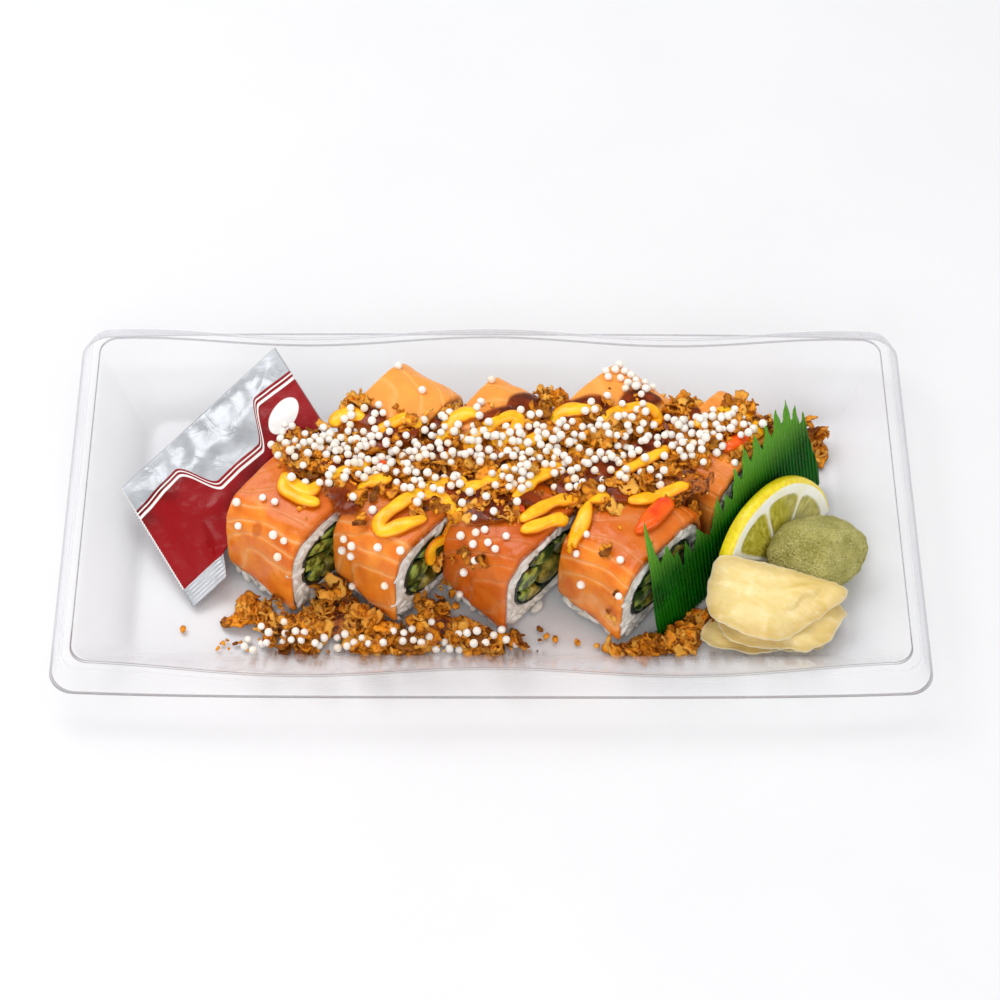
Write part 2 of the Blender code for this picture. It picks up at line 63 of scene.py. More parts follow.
floorTop = 0.75     # the upper side of the tray's floor, in mm
straightUp = Vector((0.0, 0.0, 1.0))
print("frame loaded")


def bumps(x, y, z, size, seed=0.0):
    # smooth noise between about -1 and 1, with bumps of roughly that size in mm
    return noise.noise(Vector((x / size + seed * 7.3, y / size - seed * 3.1, z / size + seed * 1.7)))


def crumple(x, y, z, size, seed=0.0, octaves=3):
    total = 0.0
    strength = 1.0
    for level in range(octaves):
        total += strength * bumps(x, y, z, size * 0.5 ** level, seed + level)
        strength *= 0.5
    return total


def smoothStep(low, high, value):
    share = min(1.0, max(0.0, (value - low) / (high - low)))
    return share * share * (3.0 - 2.0 * share)


def superEllipse(halfWidth, halfHeight, angle, topPower, bottomPower):
    c = math.cos(angle)
    s = math.sin(angle)
    power = topPower if s >= 0.0 else bottomPower
    return (halfWidth * math.copysign(abs(c) ** power, c), halfHeight * math.copysign(abs(s) ** power, s))


def faceOutwards(mesh, weld=0.0):
    # turns every face outwards, after points nearer to each other than weld mm are joined
    shape = bmesh.new()
    shape.from_mesh(mesh)
    if weld > 0.0:
        bmesh.ops.remove_doubles(shape, verts=shape.verts, dist=weld * mm)
    bmesh.ops.recalc_face_normals(shape, faces=shape.faces)
    shape.to_mesh(mesh)
    shape.free()


def addNumbers(mesh, name, numbers):
    # one number for each point, which a material or a node group reads by name
    attribute = mesh.attributes.new(name, "FLOAT", "POINT")
    attribute.data.foreach_set("value", np.asarray(numbers, dtype=np.float32))


def makePiece(name, points, faces, material, smooth=True, uv=None, values=None, fixNormals=True):
    # points in mm; uv holds one pair for each point, values maps an attribute to one number a point
    mesh = bpy.data.meshes.new(name)
    flat = np.asarray(points, dtype=float) * mm
    mesh.from_pydata(flat.tolist(), [], faces)
    if fixNormals:
        faceOutwards(mesh)
    if uv is not None:
        layer = mesh.uv_layers.new(name="UVMap")
        index = np.empty(len(mesh.loops), dtype=np.int32)
        mesh.loops.foreach_get("vertex_index", index)
        layer.data.foreach_set("uv", np.asarray(uv, dtype=np.float32)[index].ravel())
    for key, numbers in (values or {}).items():
        addNumbers(mesh, key, numbers)
    if smooth:
        mesh.shade_smooth()
    mesh.materials.append(material)
    piece = bpy.data.objects.new(name, mesh)
    bpy.context.scene.collection.objects.link(piece)
    return piece


def finishPiece(piece, slotName, *nodes):
    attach(piece, "root")
    if nodes:
        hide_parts(*nodes)


def gridFaces(rows, columns, wrap=False, start=0, flip=False):
    faces = []
    lastColumn = columns if wrap else columns - 1
    for i in range(rows - 1):
        for j in range(lastColumn):
            k = (j + 1) % columns
            quad = (start + i * columns + j, start + (i + 1) * columns + j,
                    start + (i + 1) * columns + k, start + i * columns + k)
            faces.append(quad[::-1] if flip else quad)
    return faces


def addFan(faces, start, count, middle):
    # closes a ring of points with triangles that meet in the point numbered middle
    for i in range(count):
        faces.append((start + i, start + (i + 1) % count, middle))


def addBelt(faces, first, second, count):
    # joins two rings with the same number of points
    for i in range(count):
        j = (i + 1) % count
        faces.append((first + i, first + j, second + j, second + i))


def shellFromGrids(outer, inner):
    # a closed plate between two grids of the same size, given as lists of rows
    rows = len(outer)
    columns = len(outer[0])
    points = [p for row in outer for p in row] + [p for row in inner for p in row]
    shift = rows * columns
    faces = gridFaces(rows, columns) + gridFaces(rows, columns, start=shift, flip=True)
    border = [j for j in range(columns - 1)]
    border += [i * columns + columns - 1 for i in range(rows - 1)]
    border += [(rows - 1) * columns + j for j in range(columns - 1, 0, -1)]
    border += [i * columns for i in range(rows - 1, 0, -1)]
    for k, a in enumerate(border):
        b = border[(k + 1) % len(border)]
        faces.append((a, b, shift + b, shift + a))
    return points, faces


def sleeveFromGrids(outer, inner):
    # a tube with a hole through it, its rows wrapped round; the ends are closed by rings
    rows = len(outer)
    columns = len(outer[0])
    points = [p for row in outer for p in row] + [p for row in inner for p in row]
    shift = rows * columns
    faces = gridFaces(rows, columns, True) + gridFaces(rows, columns, True, shift, True)
    return points, faces, shift


def loftRings(rings):
    # joins closed rings and closes both ends with a fan about the ring's middle
    count = len(rings[0])
    points = [tuple(p) for ring in rings for p in ring]
    faces = gridFaces(len(rings), count, True)
    for ring, start in ((rings[0], 0), (rings[-1], (len(rings) - 1) * count)):
        middle = tuple(sum(p[k] for p in ring) / count for k in range(3))
        points.append(middle)
        addFan(faces, start, count, len(points) - 1)
    return points, faces


def gridNormals(rows, wrap=False):
    grid = np.asarray(rows, dtype=float)
    along = np.gradient(grid, axis=0)
    if wrap:
        across = (np.roll(grid, -1, axis=1) - np.roll(grid, 1, axis=1)) * 0.5
    else:
        across = np.gradient(grid, axis=1)
    normal = np.cross(along, across)
    length = np.linalg.norm(normal, axis=2, keepdims=True)
    return normal / np.maximum(length, 1e-9)


def bezierPath(points, step):
    # a smooth curve through the points, with a point about every step mm
    points = [Vector(p) for p in points]
    if len(points) == 2:
        points = [points[0], points[0].lerp(points[1], 0.5), points[1]]
    padded = [points[0] * 2 - points[1]] + points + [points[-1] * 2 - points[-2]]
    path = []
    for i in range(1, len(padded) - 2):
        a, b, c, d = padded[i - 1:i + 3]
        count = max(2, int((c - b).length / step))
        for k in range(count):
            t = k / count
            path.append(0.5 * ((2 * b) + (c - a) * t + (2 * a - 5 * b + 4 * c - d) * t * t
                               + (3 * b - a - 3 * c + d) * t * t * t))
    path.append(points[-1])
    return path


class Nodes:
    # short calls for building a material's or a group's node tree
    def __init__(self, tree):
        self.tree = tree

    def add(self, kind, **settings):
        node = self.tree.nodes.new(kind)
        for key, value in settings.items():
            setattr(node, key, value)
        return node

    def link(self, source, target):
        self.tree.links.new(source, target)

    def feed(self, socket, value):
        if isinstance(value, bpy.types.NodeSocket):
            self.link(value, socket)
        elif isinstance(value, tuple) and len(value) == 3 and socket.type == "RGBA":
            socket.default_value = (*value, 1.0)
        else:
            socket.default_value = value

    def math(self, operation, a, b=0.0):
        node = self.add("ShaderNodeMath", operation=operation)
        for socket, value in zip(node.inputs, (a, b)):
            self.feed(socket, value)
        return node.outputs[0]

    def plus(self, a, b):
        return self.math("ADD", a, b)

    def minus(self, a, b):
        return self.math("SUBTRACT", a, b)

    def times(self, a, b):
        return self.math("MULTIPLY", a, b)

    def mix(self, factor, a, b):
        node = self.add("ShaderNodeMix", data_type="RGBA")
        self.feed(node.inputs[0], factor)
        self.feed(node.inputs[6], a)
        self.feed(node.inputs[7], b)
        return node.outputs[2]

    def ramp(self, factor, low, high, toLow=0.0, toHigh=1.0):
        node = self.add("ShaderNodeMapRange", interpolation_type="SMOOTHSTEP")
        for socket, value in zip(node.inputs, (factor, low, high, toLow, toHigh)):
            self.feed(socket, value)
        return node.outputs[0]

    def noise(self, scale, detail=3.0, stretch=(1.0, 1.0, 1.0), roughness=0.55, distortion=0.0, vector=None):
        if vector is None:
            vector = self.add("ShaderNodeTexCoord").outputs["Object"]
        mapping = self.add("ShaderNodeMapping")
        mapping.inputs["Scale"].default_value = stretch
        self.link(vector, mapping.inputs["Vector"])
        node = self.add("ShaderNodeTexNoise")
        self.link(mapping.outputs[0], node.inputs["Vector"])
        settings = {"Scale": scale, "Detail": detail, "Roughness": roughness, "Distortion": distortion}
        for key, value in settings.items():
            self.feed(node.inputs[key], value)
        return node.outputs["Fac"]

    def mottle(self, size, detail, **settings):
        # noise with patches of about that size in mm
        return self.noise(1.0 / (size * mm), detail, **settings)

    def cells(self, size):
        # distance from the middles of cells of about that size in mm
        node = self.add("ShaderNodeTexVoronoi")
        self.link(self.add("ShaderNodeTexCoord").outputs["Object"], node.inputs["Vector"])
        node.inputs["Scale"].default_value = 1.0 / (size * mm)
        return node.outputs["Distance"]

    def value(self, name):
        return self.add("ShaderNodeAttribute", attribute_name=name).outputs["Fac"]


def newMaterial(name, **sockets):
    # a Principled material; constants go straight onto the shader's own sockets
    material = bpy.data.materials.new(name)
    material.use_nodes = True
    shader = material.node_tree.nodes["Principled BSDF"]
    for key, value in sockets.items():
        socket = shader.inputs[key.replace("_", " ")]
        socket.default_value = (*value, 1.0) if socket.type == "RGBA" else value
    return material, Nodes(material.node_tree), shader


def addBump(nodes, shader, height, distance, strength=1.0):
    bump = nodes.add("ShaderNodeBump")
    bump.inputs["Strength"].default_value = strength
    bump.inputs["Distance"].default_value = distance * mm
    nodes.link(height, bump.inputs["Height"])
    nodes.link(bump.outputs[0], shader.inputs["Normal"])


def makeVariationGroup():
    # blends two colours by noise, and gives the noise for bump and gloss
    group = bpy.data.node_groups.new("colourVariation", "ShaderNodeTree")
    for name, kind in (("Low Color", "NodeSocketColor"), ("High Color", "NodeSocketColor"),
                       ("Scale", "NodeSocketFloat"), ("Detail", "NodeSocketFloat"),
                       ("From", "NodeSocketFloat"), ("To", "NodeSocketFloat")):
        group.interface.new_socket(name, in_out="INPUT", socket_type=kind)
    group.interface.new_socket("Color", in_out="OUTPUT", socket_type="NodeSocketColor")
    group.interface.new_socket("Height", in_out="OUTPUT", socket_type="NodeSocketFloat")
    nodes = Nodes(group)
    source = nodes.add("NodeGroupInput")
    target = nodes.add("NodeGroupOutput")
    pattern = nodes.noise(source.outputs["Scale"], source.outputs["Detail"])
    mask = nodes.ramp(pattern, source.outputs["From"], source.outputs["To"])
    colour = nodes.mix(mask, source.outputs["Low Color"], source.outputs["High Color"])
    nodes.link(colour, target.inputs["Color"])
    nodes.link(pattern, target.inputs["Height"])
    return group


variationGroup = makeVariationGroup()


def variation(nodes, low, high, size, detail=3.0, start=0.35, end=0.65):
    node = nodes.add("ShaderNodeGroup", node_tree=variationGroup)
    nodes.feed(node.inputs["Low Color"], low)
    nodes.feed(node.inputs["High Color"], high)
    node.inputs["Scale"].default_value = 1.0 / (size * mm)
    node.inputs["Detail"].default_value = detail
    node.inputs["From"].default_value = start
    node.inputs["To"].default_value = end
    return node.outputs["Color"], node.outputs["Height"]


cameraValues = {
    "elevation": 54.15,     # degrees above the floor
    "turn": 0.79,           # degrees about the tray's upright axis
    "roll": 0.76,
    "distance": 741.4,      # mm from the middle of the tray's underside
    "lens": 101.5,
    "shift": (0.0093, 0.0356),
}


def buildCamera():
    elevation = math.radians(cameraValues["elevation"])
    roll = math.radians(cameraValues["roll"])
    unturn = Matrix.Rotation(-math.radians(cameraValues["turn"]), 3, "Z")
    right = unturn @ Vector((1.0, 0.0, 0.0))
    up = unturn @ Vector((0.0, math.sin(elevation), math.cos(elevation)))
    back = unturn @ Vector((0.0, -math.cos(elevation), math.sin(elevation)))
    rolledRight = right * math.cos(roll) + up * math.sin(roll)
    rolledUp = up * math.cos(roll) - right * math.sin(roll)
    data = bpy.data.cameras.new("camera")
    data.lens = cameraValues["lens"]
    data.sensor_width = 36.0
    data.shift_x, data.shift_y = cameraValues["shift"]
    data.clip_start = 0.01
    camera = bpy.data.objects.new("camera", data)
    bpy.context.scene.collection.objects.link(camera)
    turned = Matrix((rolledRight, rolledUp, back)).transposed().to_4x4()
    turned.translation = back * (cameraValues["distance"] * mm)
    camera.matrix_world = turned
    bpy.context.scene.camera = camera


buildCamera()

stageValues = {
    "floorHalf": 2.5,       # metres
    "floorColor": (0.80, 0.80, 0.815),
    "skyColor": (1.0, 1.0, 1.0),
    "skyStrength": 0.57,
    "lights": (
        # name, size, place, aim, power
        ("keyLight", (0.9, 0.7), (-0.6, 0.45, 1.15), (0.0, 0.0, 0.02), 8.0),
        ("fillLight", (1.0, 0.7), (-0.35, -1.0, 0.85), (0.0, 0.0, 0.02), 5.2),
        ("topLight", (0.8, 0.5), (0.1, 0.25, 1.3), (0.0, 0.0, 0.0), 2.4),
        ("sideLight", (0.6, 0.4), (0.95, -0.6, 0.6), (0.0, 0.0, 0.02), 2.2),
    ),
}


def buildStage():
    half = stageValues["floorHalf"] / mm
    grid = 9
    points = []
    for i in range(grid):
        for j in range(grid):
            x = half * (2.0 * i / (grid - 1) - 1.0)
            y = half * (2.0 * j / (grid - 1) - 1.0)
            points.append((x, y, -0.05))
    material, nodes, shader = newMaterial("floorPaper", Roughness=0.55)
    dimmed = tuple(c * 0.985 for c in stageValues["floorColor"])
    colour = variation(nodes, dimmed, stageValues["floorColor"], 60.0)[0]
    nodes.link(colour, shader.inputs["Base Color"])
    floor = makePiece("studioFloor", points, gridFaces(grid, grid), material, fixNormals=False)
    if floor.data.polygons[0].normal.z < 0.0:
        floor.data.flip_normals()
    world = bpy.data.worlds.new("studioSky")
    world.use_nodes = True
    background = world.node_tree.nodes["Background"]
    background.inputs["Color"].default_value = (*stageValues["skyColor"], 1.0)
    background.inputs["Strength"].default_value = stageValues["skyStrength"]
    bpy.context.scene.world = world
    for name, size, place, aim, power in stageValues["lights"]:
        data = bpy.data.lights.new(name, "AREA")
        data.shape = "RECTANGLE"
        data.size, data.size_y = size
        data.energy = power
        lamp = bpy.data.objects.new(name, data)
        lamp.location = place
        lamp.rotation_euler = (Vector(aim) - Vector(place)).to_track_quat("-Z", "Y").to_euler()
        bpy.context.scene.collection.objects.link(lamp)


buildStage()
bpy.context.scene.view_settings.view_transform = "Standard"
print("camera, floor and lights done")


trayValues = {
    "length": 215.0, "depth": 109.4, "rimHeight": 18.8, "rimWidth": 3.2, "corner": 4.6,
    "rimDip": 3.9, "middleDrop": 0.8, "wave": 100.0, "bow": 1.5,
    "floorLength": 179.0, "floorDepth": 72.6, "floorCorner": 4.0,
    "flare": 2.4, "skirtBottom": 12.4, "wall": 0.7,
    "longSteps": 96, "shortSteps": 30, "cornerSteps": 10,
    "fillet": 4.2, "lean": 52.0, "sheetLevel": 0.35,
    # rows counted from the skirt's end, where dark lines are painted as reflections in the clear sheet: its
    # lower edge, the rim's outer bend and the rim's inner bend
    "edgeShadeStrength": {1: 0.84, 9: 0.66, 11: 0.92},
}


def makeClearPlastic():
    material, nodes, shader = newMaterial("clearPlastic", Roughness=0.06, IOR=1.46)
    shader.inputs["Specular IOR Level"].default_value = 0.6
    facing = nodes.add("ShaderNodeLayerWeight")
    facing.inputs["Blend"].default_value = 0.35
    line = nodes.value("edgeLine")
    colour = variation(nodes, (0.74, 0.74, 0.79), (0.84, 0.84, 0.89), 30.0)[0]
    # painted reflections: dark lines along the sheet's bends, browner along the front rim where the food is
    # reflected
    sharp = nodes.ramp(line, 0.45, 0.95)
    # painted reflection: food colours reflected in the front wall, drawn out into streaks up the wall
    caught = nodes.value("caughtColor")
    streaks = nodes.ramp(nodes.mottle(2.4, 3.0, stretch=(1.0, 0.12, 0.12)), 0.36, 0.68)
    caught = nodes.times(caught, streaks)
    colour = nodes.mix(caught, colour, (0.40, 0.25, 0.15))
    front = nodes.ramp(nodes.value("frontShare"), 0.0, 1.0)
    dark = nodes.mix(front, (0.20, 0.19, 0.22), (0.13, 0.095, 0.075))
    nodes.link(nodes.mix(sharp, colour, dark), shader.inputs["Base Color"])
    edge = nodes.ramp(facing.outputs["Facing"], 0.12, 0.95, 0.04, 0.60)
    edge = nodes.math("MAXIMUM", edge, nodes.times(caught, 0.55))
    strong = nodes.ramp(nodes.value("frontShare"), 0.0, 1.0, 0.58, 0.8)
    nodes.link(nodes.math("MAXIMUM", edge, nodes.times(sharp, strong)), shader.inputs["Alpha"])
    addBump(nodes, shader, nodes.mottle(22.0, 2.0), 0.5, 0.25)
    return material


clearPlastic = makeClearPlastic()


def trayRing(halfX, halfY, corner, level, follow, bow):
    values = trayValues
    runX = halfX - corner
    runY = halfY - corner
    flat = [(-runX + 2.0 * runX * i / values["longSteps"], -halfY) for i in range(values["longSteps"])]
    corners = ((runX, -runY, -90.0), (runX, runY, 0.0), (-runX, runY, 90.0), (-runX, -runY, 180.0))
    for k, (cx, cy, start) in enumerate(corners):
        for i in range(values["cornerSteps"] + 1):
            angle = math.radians(start + 90.0 * i / values["cornerSteps"])
            flat.append((cx + corner * math.cos(angle), cy + corner * math.sin(angle)))
        if k in (0, 2):
            turn = 1.0 if k == 0 else -1.0
            for i in range(1, values["shortSteps"]):
                flat.append((turn * halfX, turn * (-runY + 2.0 * runY * i / values["shortSteps"])))
        if k == 1:
            for i in range(1, values["longSteps"]):
                flat.append((runX - 2.0 * runX * i / values["longSteps"], halfY))
    flat.pop()
    ring = []
    for x, y in flat:
        wave = 0.5 * values["rimDip"] * (1.0 - math.cos(2.0 * math.pi * x / values["wave"]))
        drop = values["middleDrop"] * math.cos(0.5 * math.pi * x / values["wave"]) ** 2
        out = bow * (1.0 - (x / halfX) ** 4) * min(1.0, abs(y) / runY)
        ring.append((x, y + math.copysign(out, y), level - follow * (wave + drop)))
    return ring


def buildTray():
    values = trayValues
    halfX = 0.5 * values["length"]
    halfY = 0.5 * values["depth"]
    floorX = 0.5 * values["floorLength"]
    floorY = 0.5 * values["floorDepth"]
    lipX = halfX - values["rimWidth"]
    lipY = halfY - values["rimWidth"]
    high = values["rimHeight"]
    wall = values["wall"]
    bow = values["bow"]

    def section(offset):
        # the sheet's middle, moved outwards by offset: pairs along the wall, bottom to skirt
        rows = []
        for share in (0.0, 0.35, 0.7, 0.92):
            rows.append((floorX * share, floorY * share, values["floorCorner"] * share,
                         values["sheetLevel"] - offset, 0.0, 0.0))
        fillet = values["fillet"]
        lean = math.radians(values["lean"])
        for k in range(7):
            angle = lean * k / 6.0
            out = fillet * math.sin(angle) - 0.2
            rise = fillet * (1.0 - math.cos(angle))
            move = (offset * math.sin(angle), -offset * math.cos(angle))
            rows.append((floorX + out + move[0], floorY + out + move[0], values["floorCorner"] + 0.3 * k,
                         values["sheetLevel"] + rise + move[1], 0.0, 0.0))
        startX, startY, startZ = rows[-1][0], rows[-1][1], rows[-1][3]
        endX = lipX - 0.5 + 0.5 * offset
        endY = lipY - 0.5 + 0.5 * offset
        endZ = high - 1.1 - 0.5 * offset
        for k in range(1, 13):
            t = k / 12.0
            rows.append((startX + (endX - startX) * t, startY + (endY - startY) * t,
                         values["floorCorner"] + 1.8 + (values["corner"] - values["floorCorner"] - 1.8) * t,
                         startZ + (endZ - startZ) * t, smoothStep(0.1, 1.0, t), bow * t))
        rows.append((lipX + 0.1 + 0.2 * offset, lipY + 0.1 + 0.2 * offset, values["corner"],
                     high - 0.45 - 0.9 * offset, 1.0, bow))
        rows.append((lipX + 0.8, lipY + 0.8, values["corner"], high - 0.35 - offset, 1.0, bow))
        rows.append((halfX - 1.0, halfY - 1.0, values["corner"], high - 0.35 - offset, 1.0, bow))
        rows.append((halfX - 0.45 - 0.2 * offset, halfY - 0.45 - 0.2 * offset, values["corner"],
                     high - 0.6 - 0.8 * offset, 1.0, bow))
        for k in range(1, 8):
            t = k / 7.0
            out = -0.3 - 0.9 * offset + (values["flare"] + 0.05) * t
            level = high - 1.1 + (values["skirtBottom"] - high + 1.1) * t
            rows.append((halfX + out, halfY + out, values["corner"] + 1.6 * t, level,
                         1.0 - smoothStep(0.0, 1.0, t), bow))
        return rows

    inside = section(-0.5 * wall)
    outside = section(0.5 * wall)
    # the first row, which has no size, is left out: a fan about the floor's middle closes the sheet
    points = []
    rings = []
    edgeLine = []
    caught = []
    front = []
    for rows in (inside, outside[::-1]):
        for k, (halfA, halfB, corner, level, follow, curve) in enumerate(rows):
            fromEnd = len(rows) - k if rows is inside else k + 1
            if halfA > 0.0:
                ring = trayRing(halfA, halfB, max(corner, 0.5), level, follow, curve)
                rings.append(ring)
                edgeLine += [values["edgeShadeStrength"].get(fromEnd, 0.0)] * len(ring)
                for x, y, _ in ring:
                    # where the food's painted reflection lies on the front wall
                    low = smoothStep(-floorY + 1.0, -floorY - 1.0, y)
                    low *= smoothStep(-halfY + 4.0, -floorY - 8.0, y)
                    beside = max(smoothStep(-68.0, -56.0, x) * smoothStep(20.0, 6.0, x),
                                 0.6 * smoothStep(24.0, 34.0, x) * smoothStep(92.0, 80.0, x))
                    caught.append(low * beside)
                    front.append(1.0 if y < -0.8 * halfY else 0.0)
    count = len(rings[0])
    for ring in rings:
        points.extend(ring)
    faces = gridFaces(len(rings), count, True)
    for start, level in ((0, inside[0][3]), ((len(rings) - 1) * count, outside[0][3])):
        points.append((0.0, 0.0, level))
        for numbers in (edgeLine, caught, front):
            numbers.append(0.0)
        addFan(faces, start, count, len(points) - 1)
    piece = makePiece("trayShell", points, faces, clearPlastic,
                      values={"edgeLine": edgeLine, "caughtColor": caught, "frontShare": front})
    finishPiece(piece, "clear_plastic", "tray")


buildTray()
print("tray done")


sliceValues = {
    "halfWidth": 16.8, "side": 1.2, "top": 2.9, "endLow": 1.9, "endHigh": 5.2,
    "bottom": 1.05, "gap": 0.35, "noriHalfWidth": 11.6, "noriShare": 0.71, "noriThickness": 0.6,
    "topRoundness": 0.6, "bottomRoundness": 0.36, "noriRoundness": 0.8,
    # row, column, middle x, middle y, turn in degrees, length, height
    "places": (
        ("front", 1, -48.7, -7.1, 41.0, 22.5, 31.6),
        ("front", 2, -21.9, -10.7, 41.0, 20.5, 31.0),
        ("front", 3, 5.9, -13.4, 41.0, 20.8, 30.2),
        ("front", 4, 35.2, -16.1, 41.0, 20.8, 29.6),
        ("back", 1, -24.0, 19.4, 37.0, 18.6, 31.2),
        ("back", 2, 1.2, 15.2, 35.0, 18.6, 31.0),
        ("back", 3, 31.4, 18.6, 42.0, 20.0, 31.6),
        ("back", 4, 59.2, 10.2, 39.0, 20.0, 31.0),
    ),
}


class Slice:
    # a slice's own frame: s runs along the roll, b across it and z up
    def __init__(self, row, column, x, y, turn, length, height):
        values = sliceValues
        self.row = row
        self.node = "slice_%s_%d" % (row, column)
        self.label = "%s%d" % (row, column)
        self.x = x
        self.y = y
        self.length = length
        self.height = height
        angle = math.radians(turn)
        self.along = (math.cos(angle), -math.sin(angle))
        self.across = (math.sin(angle), math.cos(angle))
        self.riceTop = height - values["top"] - values["gap"]
        self.middle = 0.5 * (self.riceTop + values["bottom"])
        self.riceHalfWidth = values["halfWidth"] - values["side"] - values["gap"]
        self.riceHalfHeight = 0.5 * (self.riceTop - values["bottom"])
        self.phase = 1.7 * column + (0.9 if row == "back" else 0.0)

    def place(self, s, b, z):
        return (self.x + s * self.along[0] + b * self.across[0],
                self.y + s * self.along[1] + b * self.across[1], z)

    def ricePoint(self, angle, grow=0.0):
        b, z = superEllipse(self.riceHalfWidth + grow, self.riceHalfHeight + grow, angle,
                            sliceValues["topRoundness"], sliceValues["bottomRoundness"])
        return b, self.middle + z

    def noriPoint(self, angle, grow=0.0):
        halfHeight = sliceValues["noriShare"] * self.riceHalfHeight + grow
        roundness = sliceValues["noriRoundness"]
        b, z = superEllipse(sliceValues["noriHalfWidth"] + grow, halfHeight, angle, roundness, roundness)
        return b, self.middle + z


slices = [Slice(*place) for place in sliceValues["places"]]

salmonValues = {
    "stations": 46, "steps": 84, "edgeRound": 1.0, "unevenness": 0.34, "cutWaver": 0.45,
    "grooveDepth": 0.16,
    # for each slice: spacing of the fat lines in mm, their slope, their curve and where they bend
    "fat": {
        "front1": (6.2, 0.55, 5.0, -2.0), "front2": (6.6, 0.35, 6.0, 4.0),
        "front3": (6.4, 0.9, 3.0, -3.0), "front4": (5.4, 0.15, 4.5, 2.0),
        "back1": (6.0, -0.5, 4.0, 0.0), "back2": (6.5, 0.4, 3.5, 2.0),
        "back3": (5.5, -0.35, 4.5, -2.0), "back4": (7.0, 0.3, 3.0, 1.0),
    },
    # a second slab laid over part of a slice: where its edge starts and ends down the front, and its reach
    "slabs": {"front2": (7.0, 46.0, 14.5), "front3": (20.0, 50.0, 11.0)},
    "slabThickness": 0.45,
    # painted light and shade for each slice: paler above 0 where it is lit, deeper below 0 where it lies in
    # shade
    "brightness": {"front1": 0.1, "front2": 0.25, "front3": -0.9, "front4": -0.1,
                   "back1": 1.0, "back2": 0.8, "back3": 1.0, "back4": 0.6},
}


def makeSalmonMaterial():
    material, nodes, shader = newMaterial("salmonFlesh", Roughness=0.34, Specular_IOR_Level=0.22,
                                          Subsurface_Weight=0.1, Subsurface_Radius=(0.9, 0.35, 0.15),
                                          Subsurface_Scale=0.003, Coat_Weight=0.2, Coat_Roughness=0.06)
    lines = nodes.value("fatLine")
    wander = nodes.mottle(9.0, 2.0)
    strand = nodes.math("FRACT", nodes.plus(lines, nodes.times(wander, 0.22)))
    spread = nodes.math("ABSOLUTE", nodes.minus(strand, 0.5))
    thin = nodes.ramp(spread, 0.36, 0.48)
    halo = nodes.ramp(spread, 0.2, 0.5)
    patchy = nodes.ramp(nodes.mottle(5.0, 2.0), 0.38, 0.6, 0.35, 1.0)
    body = variation(nodes, (0.80, 0.165, 0.007), (0.94, 0.275, 0.020), 7.0, 4.0)[0]
    deep = nodes.ramp(nodes.mottle(12.0, 2.0), 0.5, 0.72)
    body = nodes.mix(nodes.times(deep, 0.55), body, (0.70, 0.125, 0.004))
    fibre = nodes.mottle(2.2, 3.0, distortion=1.2)
    body = nodes.mix(nodes.ramp(fibre, 0.55, 0.75, 0.0, 0.25), body, (0.96, 0.38, 0.06))
    pale = nodes.mix(nodes.times(halo, 0.5), body, (0.98, 0.38, 0.08))
    fat = nodes.mix(nodes.times(thin, nodes.times(patchy, 0.45)), pale, (1.0, 0.50, 0.22))
    # painted light and shade: each slice is made paler or deeper as it lies in light or in shade
    fat = nodes.mix(nodes.ramp(nodes.value("brightness"), 0.0, 1.0, 0.0, 0.6), fat, (1.0, 0.45, 0.085))
    fat = nodes.mix(nodes.ramp(nodes.value("brightness"), 0.0, -1.0, 0.0, 0.6), fat, (0.50, 0.075, 0.003))
    glaze = nodes.value("glaze")
    broken = nodes.times(nodes.minus(nodes.mottle(6.5, 3.0), 0.5), 1.1)
    smear = nodes.ramp(nodes.plus(glaze, broken), 0.45, 0.8)
    stained = nodes.mix(nodes.times(smear, 0.62), fat, (0.55, 0.095, 0.004))
    nodes.link(stained, shader.inputs["Base Color"])
    rough = nodes.ramp(nodes.mottle(3.0, 3.0), 0.3, 0.7, 0.26, 0.46)
    nodes.link(nodes.minus(rough, nodes.times(smear, 0.14)), shader.inputs["Roughness"])
    relief = nodes.minus(nodes.times(fibre, 0.6), nodes.times(thin, 0.8))
    wet = nodes.mottle(0.75, 2.0, stretch=(1.0, 1.0, 0.6))
    addBump(nodes, shader, nodes.plus(relief, nodes.times(wet, 0.35)), 0.28, 0.7)
    return material


salmonFlesh = makeSalmonMaterial()


def salmonEdge(share):
    # level of the salmon's lower edge, from the left face to the cut face
    high = sliceValues["endHigh"]
    low = sliceValues["endLow"]
    return high + (low - high) * share + 0.9 * math.sin(math.pi * share)


